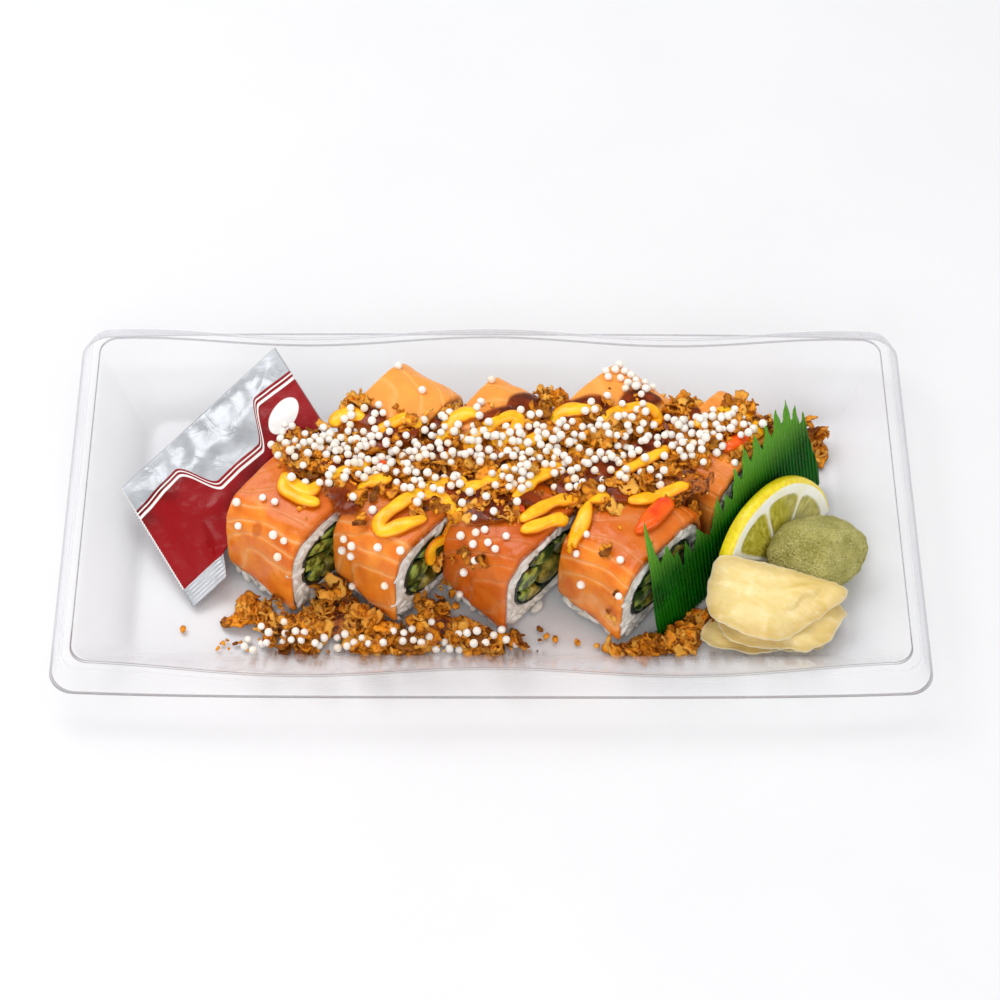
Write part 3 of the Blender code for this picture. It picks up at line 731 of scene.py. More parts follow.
def buildSalmon(piece):
    values = salmonValues
    stations = values["stations"]
    steps = values["steps"]
    spacing, slope, curve, bend = values["fat"][piece.label]
    slab = values["slabs"].get(piece.label)
    outer = []
    inner = []
    lines = []
    glaze = []
    bright = []
    halfHeight = piece.height - piece.middle
    for k in range(stations):
        share = k / (stations - 1)
        side = 2.0 * share - 1.0
        s = 0.5 * piece.length * math.copysign(1.0 - (1.0 - abs(side)) ** 1.5, side)
        share = s / piece.length + 0.5
        edge = salmonEdge(share)
        swell = 1.0 - 0.012 * math.cos(3.0 * share * math.pi + piece.phase)
        reach = (piece.middle - edge) / halfHeight
        start = -math.degrees(math.asin(reach ** (1.0 / sliceValues["bottomRoundness"])))
        fromEnd = 0.5 * piece.length - abs(s)
        pinch = 0.0
        if fromEnd < values["edgeRound"]:
            pinch = values["edgeRound"] * (1.0 - math.sqrt(1.0 - (1.0 - fromEnd / values["edgeRound"]) ** 2))
        outerRow = []
        innerRow = []
        for i in range(steps):
            degrees = start + (180.0 - 2.0 * start) * i / (steps - 1)
            angle = math.radians(degrees)
            b, z = superEllipse(sliceValues["halfWidth"] * swell - 0.2, halfHeight, angle,
                                sliceValues["topRoundness"], sliceValues["bottomRoundness"])
            nearRim = 1.0 - smoothStep(0.0, 9.0, min(degrees - start, 180.0 - start - degrees))
            arc = (degrees - 90.0) * 0.30
            out = values["unevenness"] * crumple(s, arc, 0.0, 8.0, piece.phase, 2) - 0.15
            out += 0.14 * crumple(s, arc, 3.0, 2.2, piece.phase, 2)
            line = (arc + curve * math.cos((s - bend) / 9.0) + slope * s
                    + 1.6 * bumps(s, arc, 5.0, 9.0, piece.phase)) / spacing
            if slab is not None:
                first, last, depth = slab
                inside = 0.5 * piece.length - depth * math.sin(
                    math.pi * min(1.0, max(0.0, (arc - first + 8.0) / (last - first + 8.0)))) ** 0.7
                over = smoothStep(inside - 0.25, inside + 0.25, s) if arc > first - 8.0 else 0.0
                out += values["slabThickness"] * over
                line += 0.37 * over
            nearest = abs((line + 0.11) % 1.0 - 0.5)
            out -= values["grooveDepth"] * smoothStep(0.44, 0.5, nearest)
            out -= pinch * 0.8 + 0.5 * nearRim
            nearCut = abs(share * 2.0 - 1.0) ** 6
            waver = values["cutWaver"] * bumps(arc, 0.0, side * 4.0, 6.0, piece.phase) * nearCut
            length = math.hypot(b, z)
            shrink = (length + out) / length
            outerRow.append(piece.place(s + waver, b * shrink, piece.middle + z * shrink))
            b, z = piece.ricePoint(angle, sliceValues["gap"] - 0.15)
            innerRow.append(piece.place(s + waver, b, z))
            lines.append(line)
            if piece.row == "front":
                top = smoothStep(22.0, 6.0, abs(arc + 4.0))
            else:
                top = smoothStep(16.0, 2.0, abs(arc - 12.0))
            if piece.label == "front1":
                top = max(top, 1.1 * math.exp(-((s + 1.0) / 2.0) ** 2 - ((arc - 17.0) / 4.5) ** 2))
            glaze.append(top)
            bright.append(values["brightness"][piece.label])
        outer.append(outerRow)
        inner.append(innerRow)
    points, faces = shellFromGrids(outer, inner)
    facts = {"fatLine": lines + lines, "glaze": glaze + glaze, "brightness": bright + bright}
    shape = makePiece("salmon-" + piece.label, points, faces, salmonFlesh, values=facts)
    finishPiece(shape, "salmon", piece.node + "_salmon")
    return shape


salmonPieces = [buildSalmon(piece) for piece in slices]
print("salmon done")

riceValues = {
    "stations": 20, "steps": 96, "relief": 0.42, "grainSize": 2.6,
    "grainLength": 5.2, "grainWidth": 2.05, "spacing": 2.0, "sink": 0.35,
    "seed": 17, "tries": 700, "cutFaceShare": 0.72,
}


def makeRiceMaterial():
    material, nodes, shader = newMaterial("cookedRice", Roughness=0.42, Subsurface_Weight=0.25,
                                          Subsurface_Radius=(0.6, 0.6, 0.55), Subsurface_Scale=0.002)
    # painted shade: the rice is coloured darker and greyer than it is, for the shaded cut faces between the
    # slices
    colour, pattern = variation(nodes, (0.62, 0.58, 0.50), (0.86, 0.83, 0.76), 3.5, 3.0)
    tone = nodes.value("tone")
    colour = nodes.mix(nodes.times(tone, 0.35), colour, (0.88, 0.87, 0.83))
    nodes.link(colour, shader.inputs["Base Color"])
    grains = nodes.cells(1.9)
    addBump(nodes, shader, nodes.plus(nodes.times(grains, -0.7), nodes.times(pattern, 0.3)), 0.35, 0.6)
    return material


cookedRice = makeRiceMaterial()


def riceRelief(x, y, z):
    distances = noise.voronoi(Vector((x, y, z)) / riceValues["grainSize"])[0]
    return 0.55 - distances[0]


def buildRice(piece):
    values = riceValues
    count = values["steps"]
    half = 0.5 * piece.length - 0.25

    def ring(s, share, end):
        # share runs from the nori to the outside of the rice
        row = []
        for i in range(count):
            angle = 2.0 * math.pi * i / count
            bo, zo = piece.ricePoint(angle, -0.25)
            bi, zi = piece.noriPoint(angle, 0.35)
            b = bi + (bo - bi) * share
            z = zi + (zo - zi) * share
            lump = values["relief"] * riceRelief(s + piece.x, b, z)
            if end:
                row.append(piece.place(s + math.copysign(lump + 0.1, s), b, z))
            else:
                length = math.hypot(b, z - piece.middle)
                grow = 1.0 + (lump - 0.15) / length
                row.append(piece.place(s, b * grow, max(1.1, piece.middle + (z - piece.middle) * grow)))
        return row

    rings = []
    shares = [0.0, 0.12, 0.3, 0.5, 0.7, 0.88, 0.97]
    rings += [ring(-half, share, True) for share in shares]
    for k in range(values["stations"]):
        rings.append(ring(-half + 0.5 + (2.0 * half - 1.0) * k / (values["stations"] - 1), 1.0, False))
    rings += [ring(half, share, True) for share in shares[::-1]]
    points = [p for row in rings for p in row]
    faces = gridFaces(len(rings), count, True)
    addBelt(faces, 0, (len(rings) - 1) * count, count)
    shape = makePiece("rice-" + piece.label, points, faces, cookedRice,
                      values={"tone": [0.2] * len(points)})
    finishPiece(shape, "rice", piece.node + "_rice")


for piece in slices:
    buildRice(piece)

noriValues = {"steps": 96, "stations": 14, "ruffle": 0.28, "lip": 0.35}


def makeNoriMaterial():
    material, nodes, shader = newMaterial("noriSheet", Roughness=0.42, Coat_Weight=0.15)
    colour, pattern = variation(nodes, (0.006, 0.012, 0.009), (0.022, 0.042, 0.026), 1.2, 4.0)
    nodes.link(colour, shader.inputs["Base Color"])
    addBump(nodes, shader, pattern, 0.3, 0.8)
    return material


noriSheet = makeNoriMaterial()


def buildNori(piece):
    values = noriValues
    count = values["steps"]
    half = 0.5 * piece.length - 0.2
    outer = []
    inner = []
    for k in range(values["stations"]):
        s = -half + 2.0 * half * k / (values["stations"] - 1)
        atEnd = abs(s) > half - 0.1
        outerRow = []
        innerRow = []
        for i in range(count):
            angle = 2.0 * math.pi * i / count
            roundX = 5.0 * math.cos(angle) + piece.x
            ruffle = values["ruffle"] * bumps(roundX, 5.0 * math.sin(angle), 0.3 * s, 1.6)
            reach = 0.0
            if atEnd:
                reach = math.copysign(values["lip"] * abs(bumps(angle * 4.0, piece.phase, 0.0, 1.0)), s)
            for row, grow in ((outerRow, 0.0), (innerRow, -sliceValues["noriThickness"])):
                b, z = piece.noriPoint(angle, grow + ruffle * 0.6)
                row.append(piece.place(s + reach, b, z))
        outer.append(outerRow)
        inner.append(innerRow)
    points, faces, shift = sleeveFromGrids(outer, inner)
    last = (values["stations"] - 1) * count
    for start in (0, last):
        addBelt(faces, start, shift + start, count)
    shape = makePiece("nori-" + piece.label, points, faces, noriSheet)
    finishPiece(shape, "nori", piece.node + "_nori")


for piece in slices:
    buildNori(piece)

fillingValues = {
    "cucumberSticks": 4, "avocadoSlices": 3, "chord": 55.0, "chordSwing": 9.0,
    "cutUnevenness": 0.8, "clearance": 0.09, "shareSwing": 0.3,
}


def makeCucumberMaterial():
    # skinDepth runs from 0 at the skin to 1 in the flesh
    material, nodes, shader = newMaterial("cucumberFlesh", Roughness=0.3, Subsurface_Weight=0.15,
                                          Subsurface_Radius=(0.5, 0.7, 0.3), Subsurface_Scale=0.002,
                                          Coat_Weight=0.3)
    depth = nodes.value("skinDepth")
    flesh, pattern = variation(nodes, (0.020, 0.055, 0.004), (0.36, 0.47, 0.075), 2.6, 4.0, 0.40, 0.62)
    rim = nodes.ramp(depth, 0.10, 0.32)
    green = nodes.mix(rim, (0.003, 0.020, 0.002), flesh)
    nodes.link(green, shader.inputs["Base Color"])
    addBump(nodes, shader, pattern, 0.3, 0.6)
    return material


def makeAvocadoMaterial():
    material, nodes, shader = newMaterial("avocadoFlesh", Roughness=0.4, Subsurface_Weight=0.2,
                                          Subsurface_Radius=(0.7, 0.7, 0.2), Subsurface_Scale=0.002)
    depth = nodes.value("skinDepth")
    flesh, pattern = variation(nodes, (0.10, 0.085, 0.006), (0.48, 0.37, 0.055), 3.0, 3.0, 0.38, 0.64)
    rim = nodes.ramp(depth, 0.05, 0.4)
    green = nodes.mix(rim, (0.02, 0.06, 0.004), flesh)
    nodes.link(green, shader.inputs["Base Color"])
    addBump(nodes, shader, pattern, 0.25, 0.5)
    return material


cucumberFlesh = makeCucumberMaterial()
avocadoFlesh = makeAvocadoMaterial()


def buildFilling(piece, kind, start, sweep, parts, material):
    # parts of one half of the filling, side by side, each a loft along the roll
    grow = -sliceValues["noriThickness"] - 0.2
    half = 0.5 * piece.length - 0.1
    chance = random.Random(int(piece.phase * 100) + parts)
    points = []
    faces = []
    depths = []
    first = Vector((*piece.noriPoint(math.radians(start), grow), 0.0))
    last = Vector((*piece.noriPoint(math.radians(start + sweep), grow), 0.0))
    swing = fillingValues["shareSwing"]
    bounds = [0.0] + [(k + chance.uniform(-swing, swing)) / parts for k in range(1, parts)] + [1.0]
    for part in range(parts):
        low = bounds[part]
        high = bounds[part + 1]
        angles = [math.radians(start + sweep * (low + (high - low) * i / 9.0)) for i in range(10)]
        rim = [Vector((*piece.noriPoint(angle, grow), 0.0)) for angle in angles]
        base = [first.lerp(last, high + (low - high) * i / 5.0) for i in range(6)]
        outline = rim + base
        middle = sum(outline, Vector()) / len(outline)
        bulge = fillingValues["cutUnevenness"] * chance.uniform(-0.6, 1.0)
        smooth = []
        for i, p in enumerate(outline):
            before = outline[i - 1]
            after = outline[(i + 1) % len(outline)]
            smooth.append((p * 2.0 + before + after) * 0.25)
        dense = []
        for i, p in enumerate(smooth):
            dense.append(p)
            dense.append(p.lerp(smooth[(i + 1) % len(smooth)], 0.5))
        onRim = [1.0 if i < 20 else 0.0 for i in range(len(dense))]
        shrinkEdge = fillingValues["clearance"]
        # place along the roll and size of each section, small at both rounded ends
        sections = [(-half - 0.2 + 0.3 * bulge, 0.35), (-half - 0.1 + 0.3 * bulge, 0.75), (-half + 0.25, 1.0)]
        sections += [(-half + 0.25 + (2.0 * half - 0.5) * i / 5.0, 1.0) for i in range(1, 5)]
        sections += [(half - 0.25, 1.0), (half + 0.1 + 0.3 * bulge, 0.75), (half + 0.2 + 0.3 * bulge, 0.35)]
        shift = len(points)
        for s, scale in sections:
            for i, p in enumerate(dense):
                away = p - middle
                length = max(away.length, 1e-6)
                q = middle + away * (scale * (1.0 - shrinkEdge / length))
                shakeX = bumps(q.x, q.y, s * 0.2, 2.0, piece.phase)
                shakeY = bumps(q.y, q.x, s * 0.2, 2.0)
                q += Vector((shakeX, shakeY, 0.0)) * 0.12
                points.append(piece.place(s, q.x, q.y))
                depths.append((1.0 - scale) * 1.6 if onRim[i] else 1.0 - 0.25 * scale)
        count = len(dense)
        faces += gridFaces(len(sections), count, True, shift)
        lastStart = shift + (len(sections) - 1) * count
        for startIndex, s in ((shift, sections[0][0]), (lastStart, sections[-1][0])):
            points.append(piece.place(s, middle.x, middle.y))
            depths.append(1.0)
            addFan(faces, startIndex, count, len(points) - 1)
    shape = makePiece("%s-%s" % (kind, piece.label), points, faces, material, values={"skinDepth": depths})
    shape.data.set_sharp_from_angle(angle=math.radians(55.0))
    finishPiece(shape, kind, "%s_%s" % (piece.node, kind))


for piece in slices:
    chord = fillingValues["chord"] + fillingValues["chordSwing"] * math.sin(piece.phase)
    buildFilling(piece, "cucumber", chord + 4.0, 172.0, fillingValues["cucumberSticks"], cucumberFlesh)
    buildFilling(piece, "avocado", chord + 184.0, 172.0, fillingValues["avocadoSlices"], avocadoFlesh)
print("roll slices done")


packetValues = {
    "low": (-76.4, -24.4, 2.0), "left": (-96.4, 6.4, 11.6), "top": (-56.6, 37.2, 32.0),
    "seal": 0.3, "swell": 1.55, "across": 120, "down": 84, "serration": 0.25,
    "silver": (0.50, 0.52, 0.55), "red": (0.29, 0.000, 0.003), "darkRed": (0.15, 0.000, 0.001),
    "line": (0.86, 0.84, 0.82),
    # the pale lines' near and far sides, in mm below the edge between silver and red
    "bands": ((0.75, 1.15), (1.9, 2.7)),
}


def makePacketMaterial():
    values = packetValues
    material, nodes, shader = newMaterial("packetFilm", Roughness=0.3, Specular_IOR_Level=0.22,
                                          Coat_Weight=0.10, Coat_Roughness=0.05)
    edge = nodes.value("printEdge")
    badge = nodes.value("badge")
    seal = nodes.value("sealBand")
    border = nodes.value("border")
    red = variation(nodes, values["darkRed"], values["red"], 14.0, 2.0, 0.3, 0.55)[0]
    silver, sheen = variation(nodes, tuple(c * 0.84 for c in values["silver"]), values["silver"], 9.0, 2.0)
    field = nodes.ramp(edge, -0.08, 0.08)
    colour = nodes.mix(field, silver, red)
    for low, high in values["bands"]:
        starts = nodes.ramp(edge, low - 0.08, low + 0.08)
        band = nodes.times(starts, nodes.ramp(edge, high + 0.08, high - 0.08))
        colour = nodes.mix(band, colour, values["line"])
    colour = nodes.mix(nodes.ramp(badge, 1.03, 0.97), colour, values["line"])
    colour = nodes.mix(nodes.ramp(border, 0.08, -0.08), colour, values["line"])
    foil = nodes.ramp(seal, -0.05, 0.05)
    colour = nodes.mix(foil, colour, silver)
    nodes.link(colour, shader.inputs["Base Color"])
    bare = nodes.math("MAXIMUM", foil, nodes.minus(1.0, field))
    nodes.link(nodes.times(bare, 0.3), shader.inputs["Metallic"])
    nodes.link(nodes.ramp(sheen, 0.3, 0.7, 0.24, 0.40), shader.inputs["Roughness"])
    ribs = nodes.math("SINE", nodes.times(seal, 6.5))
    ribbed = nodes.times(ribs, foil)
    crease = nodes.mottle(7.0, 3.0, distortion=0.8)
    addBump(nodes, shader, nodes.plus(nodes.times(ribbed, 0.08), crease), 0.7, 0.6)
    return material


packetFilm = makePacketMaterial()


def buildPacket():
    values = packetValues
    left = Vector(values["left"])
    over = Vector(values["top"]) - left
    down = Vector(values["low"]) - left
    first = slices[0]
    clear = 0.5 * first.length + 0.35 + 2.0 * sliceValues["gap"]
    normal = over.cross(down).normalized()
    if normal.z < 0.0:
        normal = -normal
    width = over.length
    height = down.length
    outer = []
    inner = []
    uv = []
    facts = {"printEdge": [], "badge": [], "sealBand": [], "border": []}
    for i in range(values["across"] + 1):
        u = i / values["across"]
        start = left + over * u
        dx = start.x - first.x
        dy = start.y - first.y
        begin = dx * first.along[0] + dy * first.along[1]
        dx += down.x
        dy += down.y
        end = dx * first.along[0] + dy * first.along[1]
        crossing = dx * first.across[0] + dy * first.across[1]
        free = (-clear - begin) / (end - begin)
        blend = min(1.0, max(0.0, (crossing + sliceValues["halfWidth"] + 4.0) / 2.4))
        reach = 1.0 + blend * (min(free, 1.0) - 1.0)
        outerRow = []
        innerRow = []
        for j in range(values["down"] + 1):
            v = j / values["down"]
            point = start + down * (v * reach)
            if i in (0, values["across"]):
                tooth = values["serration"] * (1.0 if j % 2 else -1.0)
                point += over.normalized() * (tooth if i else -tooth)
            bulge = (1.0 - (2.0 * u - 1.0) ** 6) * (1.0 - (2.0 * v - 1.0) ** 6)
            near = min(u * width, (1.0 - u) * width, v * height, (1.0 - v) * height)
            pillow = smoothStep(2.0, 13.0, near)
            wrinkle = 0.55 * crumple(point.x, point.y, point.z, 10.0, 2.0) * bulge
            gather = math.sin(u * width * 0.9 + 2.2 * bumps(u * width, v * 9.0, 0.0, 8.0))
            depthOfPucker = 0.20 + 0.25 * bumps(u * width, v * height, 3.0, 9.0)
            pucker = depthOfPucker * gather * smoothStep(11.0, 3.0, near) * bulge
            thick = values["seal"] + values["swell"] * pillow
            outerRow.append(tuple(point + normal * (thick + wrinkle + pucker)))
            innerRow.append(tuple(point - normal * (thick * 0.9 - wrinkle - pucker)))
            across = u * width
            depth = v * reach * height
            hump = smoothStep(0.27, 0.43, u) * smoothStep(0.79, 0.68, u)
            facts["printEdge"].append(depth - height * (0.20 - 0.03 * math.sin(math.pi * u) + 0.28 * hump))
            badgeX = (u - 0.86) * width
            badgeY = (v * reach - 0.425) * height
            facts["badge"].append(math.hypot((badgeX - 0.3 * badgeY) / 5.4, (badgeY + 0.3 * badgeX) / 3.6))
            facts["sealBand"].append(depth - 0.86 * height)
            facts["border"].append(across - 0.35)
            uv.append((across / width, depth / width))
        outer.append(outerRow)
        inner.append(innerRow)
    points, faces = shellFromGrids(outer, inner)
    shape = makePiece("soyPacket", points, faces, packetFilm, uv=uv + uv,
                      values={key: numbers + numbers for key, numbers in facts.items()})
    finishPiece(shape, "printed_film", "soy_packet")


buildPacket()
print("packet done")


leafValues = {
    "thickness": 0.4, "turn": 41.0, "start": (43.1, -34.9), "length": 68.0, "lean": 0.21,
    "pitch": 0.25, "rib": 1.25, "ribDepth": 0.16,
    # each tooth: where its tip is along the sheet, its height, and the height of the notch after it
    "teeth": ((1.9, 43.0, 24.6), (8.6, 28.6, 22.4), (11.6, 24.0, 16.8), (14.8, 25.0, 18.8),
              (19.4, 25.4, 19.6), (27.5, 30.2, 23.2), (30.8, 28.4, 24.4), (35.4, 33.6, 27.2),
              (40.0, 37.4, 29.6), (44.9, 37.8, 29.8), (49.4, 36.8, 30.4), (53.4, 39.4, 32.2),
              (57.6, 39.6, 30.2), (61.0, 34.6, 25.6), (64.2, 29.8, 18.0)),
}


def makeLeafMaterial():
    material, nodes, shader = newMaterial("leafFilm", Roughness=0.36, Specular_IOR_Level=0.1,
                                          Subsurface_Weight=0.06, Subsurface_Radius=(0.1, 0.5, 0.15),
                                          Subsurface_Scale=0.002)
    along = nodes.value("along")
    rise = nodes.value("rise")
    vein = nodes.math("SINE", nodes.times(along, 2.0 * math.pi / (0.5 * leafValues["rib"])))
    colour, pattern = variation(nodes, (0.0003, 0.050, 0.0004), (0.0008, 0.105, 0.0010), 10.0, 2.0)
    # painted light: lighter and yellower towards the tops of the teeth, where the light falls on the sheet
    tip = nodes.ramp(rise, 17.0, 33.0)
    colour = nodes.mix(nodes.times(tip, 0.85), colour, (0.16, 0.44, 0.035))
    colour = nodes.mix(nodes.ramp(vein, 0.2, 1.0, 0.0, 0.4), colour, (0.012, 0.20, 0.012))
    nodes.link(colour, shader.inputs["Base Color"])
    nodes.link(nodes.ramp(pattern, 0.3, 0.7, 0.24, 0.4), shader.inputs["Roughness"])
    addBump(nodes, shader, vein, 0.12, 0.7)
    return material


leafFilm = makeLeafMaterial()


def leafTop(b):
    # height of the toothed edge at a distance along the sheet
    teeth = leafValues["teeth"]
    notch = 10.0
    before = 0.0
    for k, (tip, height, after) in enumerate(teeth):
        nextTip = teeth[k + 1][0] if k + 1 < len(teeth) else leafValues["length"] + 4.0
        valley = 0.5 * (tip + nextTip) if k + 1 < len(teeth) else tip + 1.6
        if b <= tip:
            share = (b - before) / max(tip - before, 0.01)
            return notch + (height - notch) * max(0.0, share) ** 1.25
        if b <= valley:
            share = (valley - b) / (valley - tip)
            return after + (height - after) * share ** 1.25
        notch = after
        before = valley
    share = min(1.0, (b - before) / (leafValues["length"] - before))
    return notch + (7.0 - notch) * share


def buildLeaf():
    values = leafValues
    angle = math.radians(values["turn"])
    ahead = Vector((math.sin(angle), math.cos(angle), 0.0))
    away = Vector((-math.cos(angle), math.sin(angle), 0.0))
    start = Vector((*values["start"], 1.05))
    columns = int(values["length"] / values["pitch"])
    levels = 12
    outer = []
    inner = []
    along = []
    rise = []
    for i in range(columns + 1):
        b = values["length"] * i / columns
        foot = start + ahead * b + away * (0.5 * math.sin(9.0 * b / values["length"]))
        height = leafTop(b)
        rib = values["ribDepth"] * math.sin(2.0 * math.pi * b / values["rib"])
        outerRow = []
        innerRow = []
        for j in range(levels + 1):
            z = height * (1.0 - (1.0 - j / levels) ** 1.3)
            curl = 0.5 * math.sin(b / 6.0 + 1.0) * (z / 35.0) ** 2
            point = foot + Vector((0.0, 0.0, z)) + away * (values["lean"] * z + rib + curl)
            half = away * (0.5 * values["thickness"] * (1.0 if j < levels else 0.4))
            outerRow.append(tuple(point - half))
            innerRow.append(tuple(point + half))
            along.append(b)
            rise.append(z)
        outer.append(outerRow)
        inner.append(innerRow)
    points, faces = shellFromGrids(outer, inner)
    facts = {"along": along + along, "rise": rise + rise}
    shape = makePiece("leafDivider", points, faces, leafFilm, values=facts)
    shape.data.set_sharp_from_angle(angle=math.radians(60.0))
    finishPiece(shape, "leaf_film", "leaf_divider")


buildLeaf()
print("leaf done")


lemonValues = {
    "radius": 22.5, "thickness": 4.0, "centre": (74.9, -10.2, 2.9), "face": (0.718, -0.624, 0.309),
    "pith": 3.5, "segments": 4, "membrane": 0.3, "core": 1.6,
    "around": 96, "rings": 40,
}


def makeLemonMaterial():
    # rimDistance is the distance from the rim in mm, fleshMask is 1 inside a segment
    material, nodes, shader = newMaterial("lemonSlice", Roughness=0.3, Subsurface_Weight=0.25,
                                          Subsurface_Radius=(1.0, 0.8, 0.2), Subsurface_Scale=0.003,
                                          Coat_Weight=0.3)
    rim = nodes.value("rimDistance")
    flesh = nodes.value("fleshMask")
    turn = nodes.value("turn")
    reach = nodes.value("reach")
    rind, pores = variation(nodes, (0.88, 0.64, 0.004), (0.98, 0.80, 0.015), 1.3, 3.0)
    pith = variation(nodes, (0.94, 0.91, 0.70), (0.99, 0.98, 0.90), 3.0, 3.0)[0]
    vector = nodes.add("ShaderNodeCombineXYZ")
    nodes.feed(vector.inputs[0], nodes.times(turn, 9.0))
    nodes.feed(vector.inputs[1], nodes.times(reach, 0.22))
    sacs = nodes.noise(1.6, 3.0, vector=vector.outputs[0], distortion=0.4)
    juice = nodes.mix(nodes.ramp(sacs, 0.35, 0.68), (0.36, 0.32, 0.010), (0.66, 0.58, 0.10))
    juice = nodes.mix(nodes.ramp(nodes.mottle(6.0, 2.0), 0.4, 0.65, 0.0, 0.5), juice, (0.46, 0.42, 0.020))
    colour = nodes.mix(nodes.ramp(rim, 0.75, 1.25), rind, pith)
    colour = nodes.mix(flesh, colour, juice)
    nodes.link(colour, shader.inputs["Base Color"])
    nodes.link(nodes.ramp(flesh, 0.0, 1.0, 0.42, 0.16), shader.inputs["Roughness"])
    relief = nodes.plus(nodes.times(sacs, flesh), nodes.times(pores, 0.35))
    addBump(nodes, shader, relief, 0.4, 0.6)
    return material


lemonSlice = makeLemonMaterial()


def buildLemon():
    values = lemonValues
    face = Vector(values["face"]).normalized()
    level = Vector((-face.y, face.x, 0.0)).normalized()
    upward = face.cross(level)
    centre = Vector(values["centre"])
    radius = values["radius"]
    around = values["around"]
    rim = []
    flesh = []
    turns = []
    reaches = []

    def segmentShare(angle, reach):
        fromRim = radius - reach
        share = angle / math.pi * values["segments"]
        across = abs(share - round(share)) / values["segments"] * math.pi * reach
        # how far inside a segment, with its corners rounded
        inside = (across - values["membrane"], fromRim - values["pith"], reach - values["core"])
        depth = -math.log(sum(math.exp(-0.9 * max(part, -20.0)) for part in inside)) / 0.9
        return smoothStep(-0.2, 0.5, depth)

    rings = []
    for side in (0, 1):
        row = []
        for k in range(values["rings"] + 1):
            reach = radius * k / values["rings"]
            ring = []
            for i in range(around + 1):
                angle = math.pi * i / around
                mask = segmentShare(angle, reach)
                wobble = 1.0 + 0.006 * math.sin(3.0 * angle + 1.0) + 0.004 * math.sin(7.0 * angle)
                depth = values["thickness"] * side
                uneven = crumple(reach * math.cos(angle), reach * math.sin(angle), side * 9.0, 3.0)
                sink = 0.28 * mask - 0.12 * uneven * mask
                roundOff = 0.7 * smoothStep(radius - 0.9, radius, reach)
                shift = (sink + roundOff) * (1.0 if side == 0 else -1.0)
                place = centre - face * (depth + shift)
                sideways = level * (reach * wobble * math.cos(angle))
                place += sideways + upward * (reach * wobble * math.sin(angle))
                ring.append(tuple(place))
                rim.append(radius - reach)
                flesh.append(mask)
                turns.append(angle)
                reaches.append(reach)
            row.append(ring)
        rings.append(row)
    columns = around + 1
    rows = values["rings"] + 1
    points = [p for row in rings[0] for p in row] + [p for row in rings[1] for p in row]
    shift = rows * columns
    faces = gridFaces(rows, columns) + gridFaces(rows, columns, start=shift, flip=True)
    # the peel round the outside, with a bulging middle row
    outerStart = (rows - 1) * columns
    bulgeStart = len(points)
    for share in (0.25, 0.5, 0.75):
        for i in range(columns):
            angle = math.pi * i / around
            reach = radius + 0.25 - abs(share - 0.5) * 0.4
            place = centre - face * (values["thickness"] * share)
            place += level * (reach * math.cos(angle)) + upward * (reach * math.sin(angle))
            points.append(tuple(place))
            rim.append(0.0)
            flesh.append(0.0)
            turns.append(angle)
            reaches.append(reach)
    bands = [outerStart, bulgeStart, bulgeStart + columns, bulgeStart + 2 * columns, shift + outerStart]
    for a, b in zip(bands[:-1], bands[1:]):
        for i in range(around):
            faces.append((a + i, a + i + 1, b + i + 1, b + i))
    # the straight cut along the bottom
    for end in (0, around):
        front = [k * columns + end for k in range(rows)]
        backRow = [shift + k * columns + end for k in range(rows)]
        for k in range(rows - 1):
            faces.append((front[k], front[k + 1], backRow[k + 1], backRow[k]))
        faces.append((front[-1], bulgeStart + end, bulgeStart + columns + end,
                      bulgeStart + 2 * columns + end, backRow[-1]))
    shape = makePiece("lemonHalfSlice", points, faces, lemonSlice,
                      values={"rimDistance": rim, "fleshMask": flesh, "turn": turns, "reach": reaches})
    faceOutwards(shape.data, 0.002)
    shape.data.set_sharp_from_angle(angle=math.radians(50.0))
    finishPiece(shape, "lemon", "lemon_half_slice")


buildLemon()
print("lemon done")


wasabiValues = {
    "centre": (84.9, -12.9, 1.05), "radius": 10.6, "height": 18.5, "squash": 0.92,
    "around": 120, "levels": 80, "lumps": 0.6, "grain": 0.32, "swirlDepth": 2.3,
    # flats pressed by fingers: facing, distance from the middle, how firmly
    "flats": (((-0.42, -0.66, 0.62), 7.2, 0.85), ((0.55, -0.62, 0.56), 7.8, 0.85),
              ((0.10, 0.30, 0.95), 7.6, 0.6)),
    # share of the height, share of the radius
    "profile": ((0.0, 0.45), (0.08, 0.70), (0.20, 0.87), (0.42, 1.0), (0.62, 0.95), (0.80, 0.75),
                (0.92, 0.48), (1.0, 0.12)),
}


def makeWasabiMaterial():
    material, nodes, shader = newMaterial("wasabiPaste", Roughness=0.62, Subsurface_Weight=0.12,
                                          Subsurface_Radius=(0.6, 0.7, 0.3), Subsurface_Scale=0.002)
    colour, pattern = variation(nodes, (0.36, 0.325, 0.065), (0.52, 0.47, 0.14), 4.5, 5.0)
    fine = nodes.mottle(0.6, 2.0)
    colour = nodes.mix(nodes.ramp(fine, 0.52, 0.72, 0.0, 0.7), colour, (0.68, 0.63, 0.29))
    colour = nodes.mix(nodes.ramp(fine, 0.46, 0.28, 0.0, 0.6), colour, (0.20, 0.18, 0.035))
    nodes.link(colour, shader.inputs["Base Color"])
    addBump(nodes, shader, nodes.plus(pattern, nodes.times(fine, 1.4)), 0.8, 1.0)
    return material


wasabiPaste = makeWasabiMaterial()


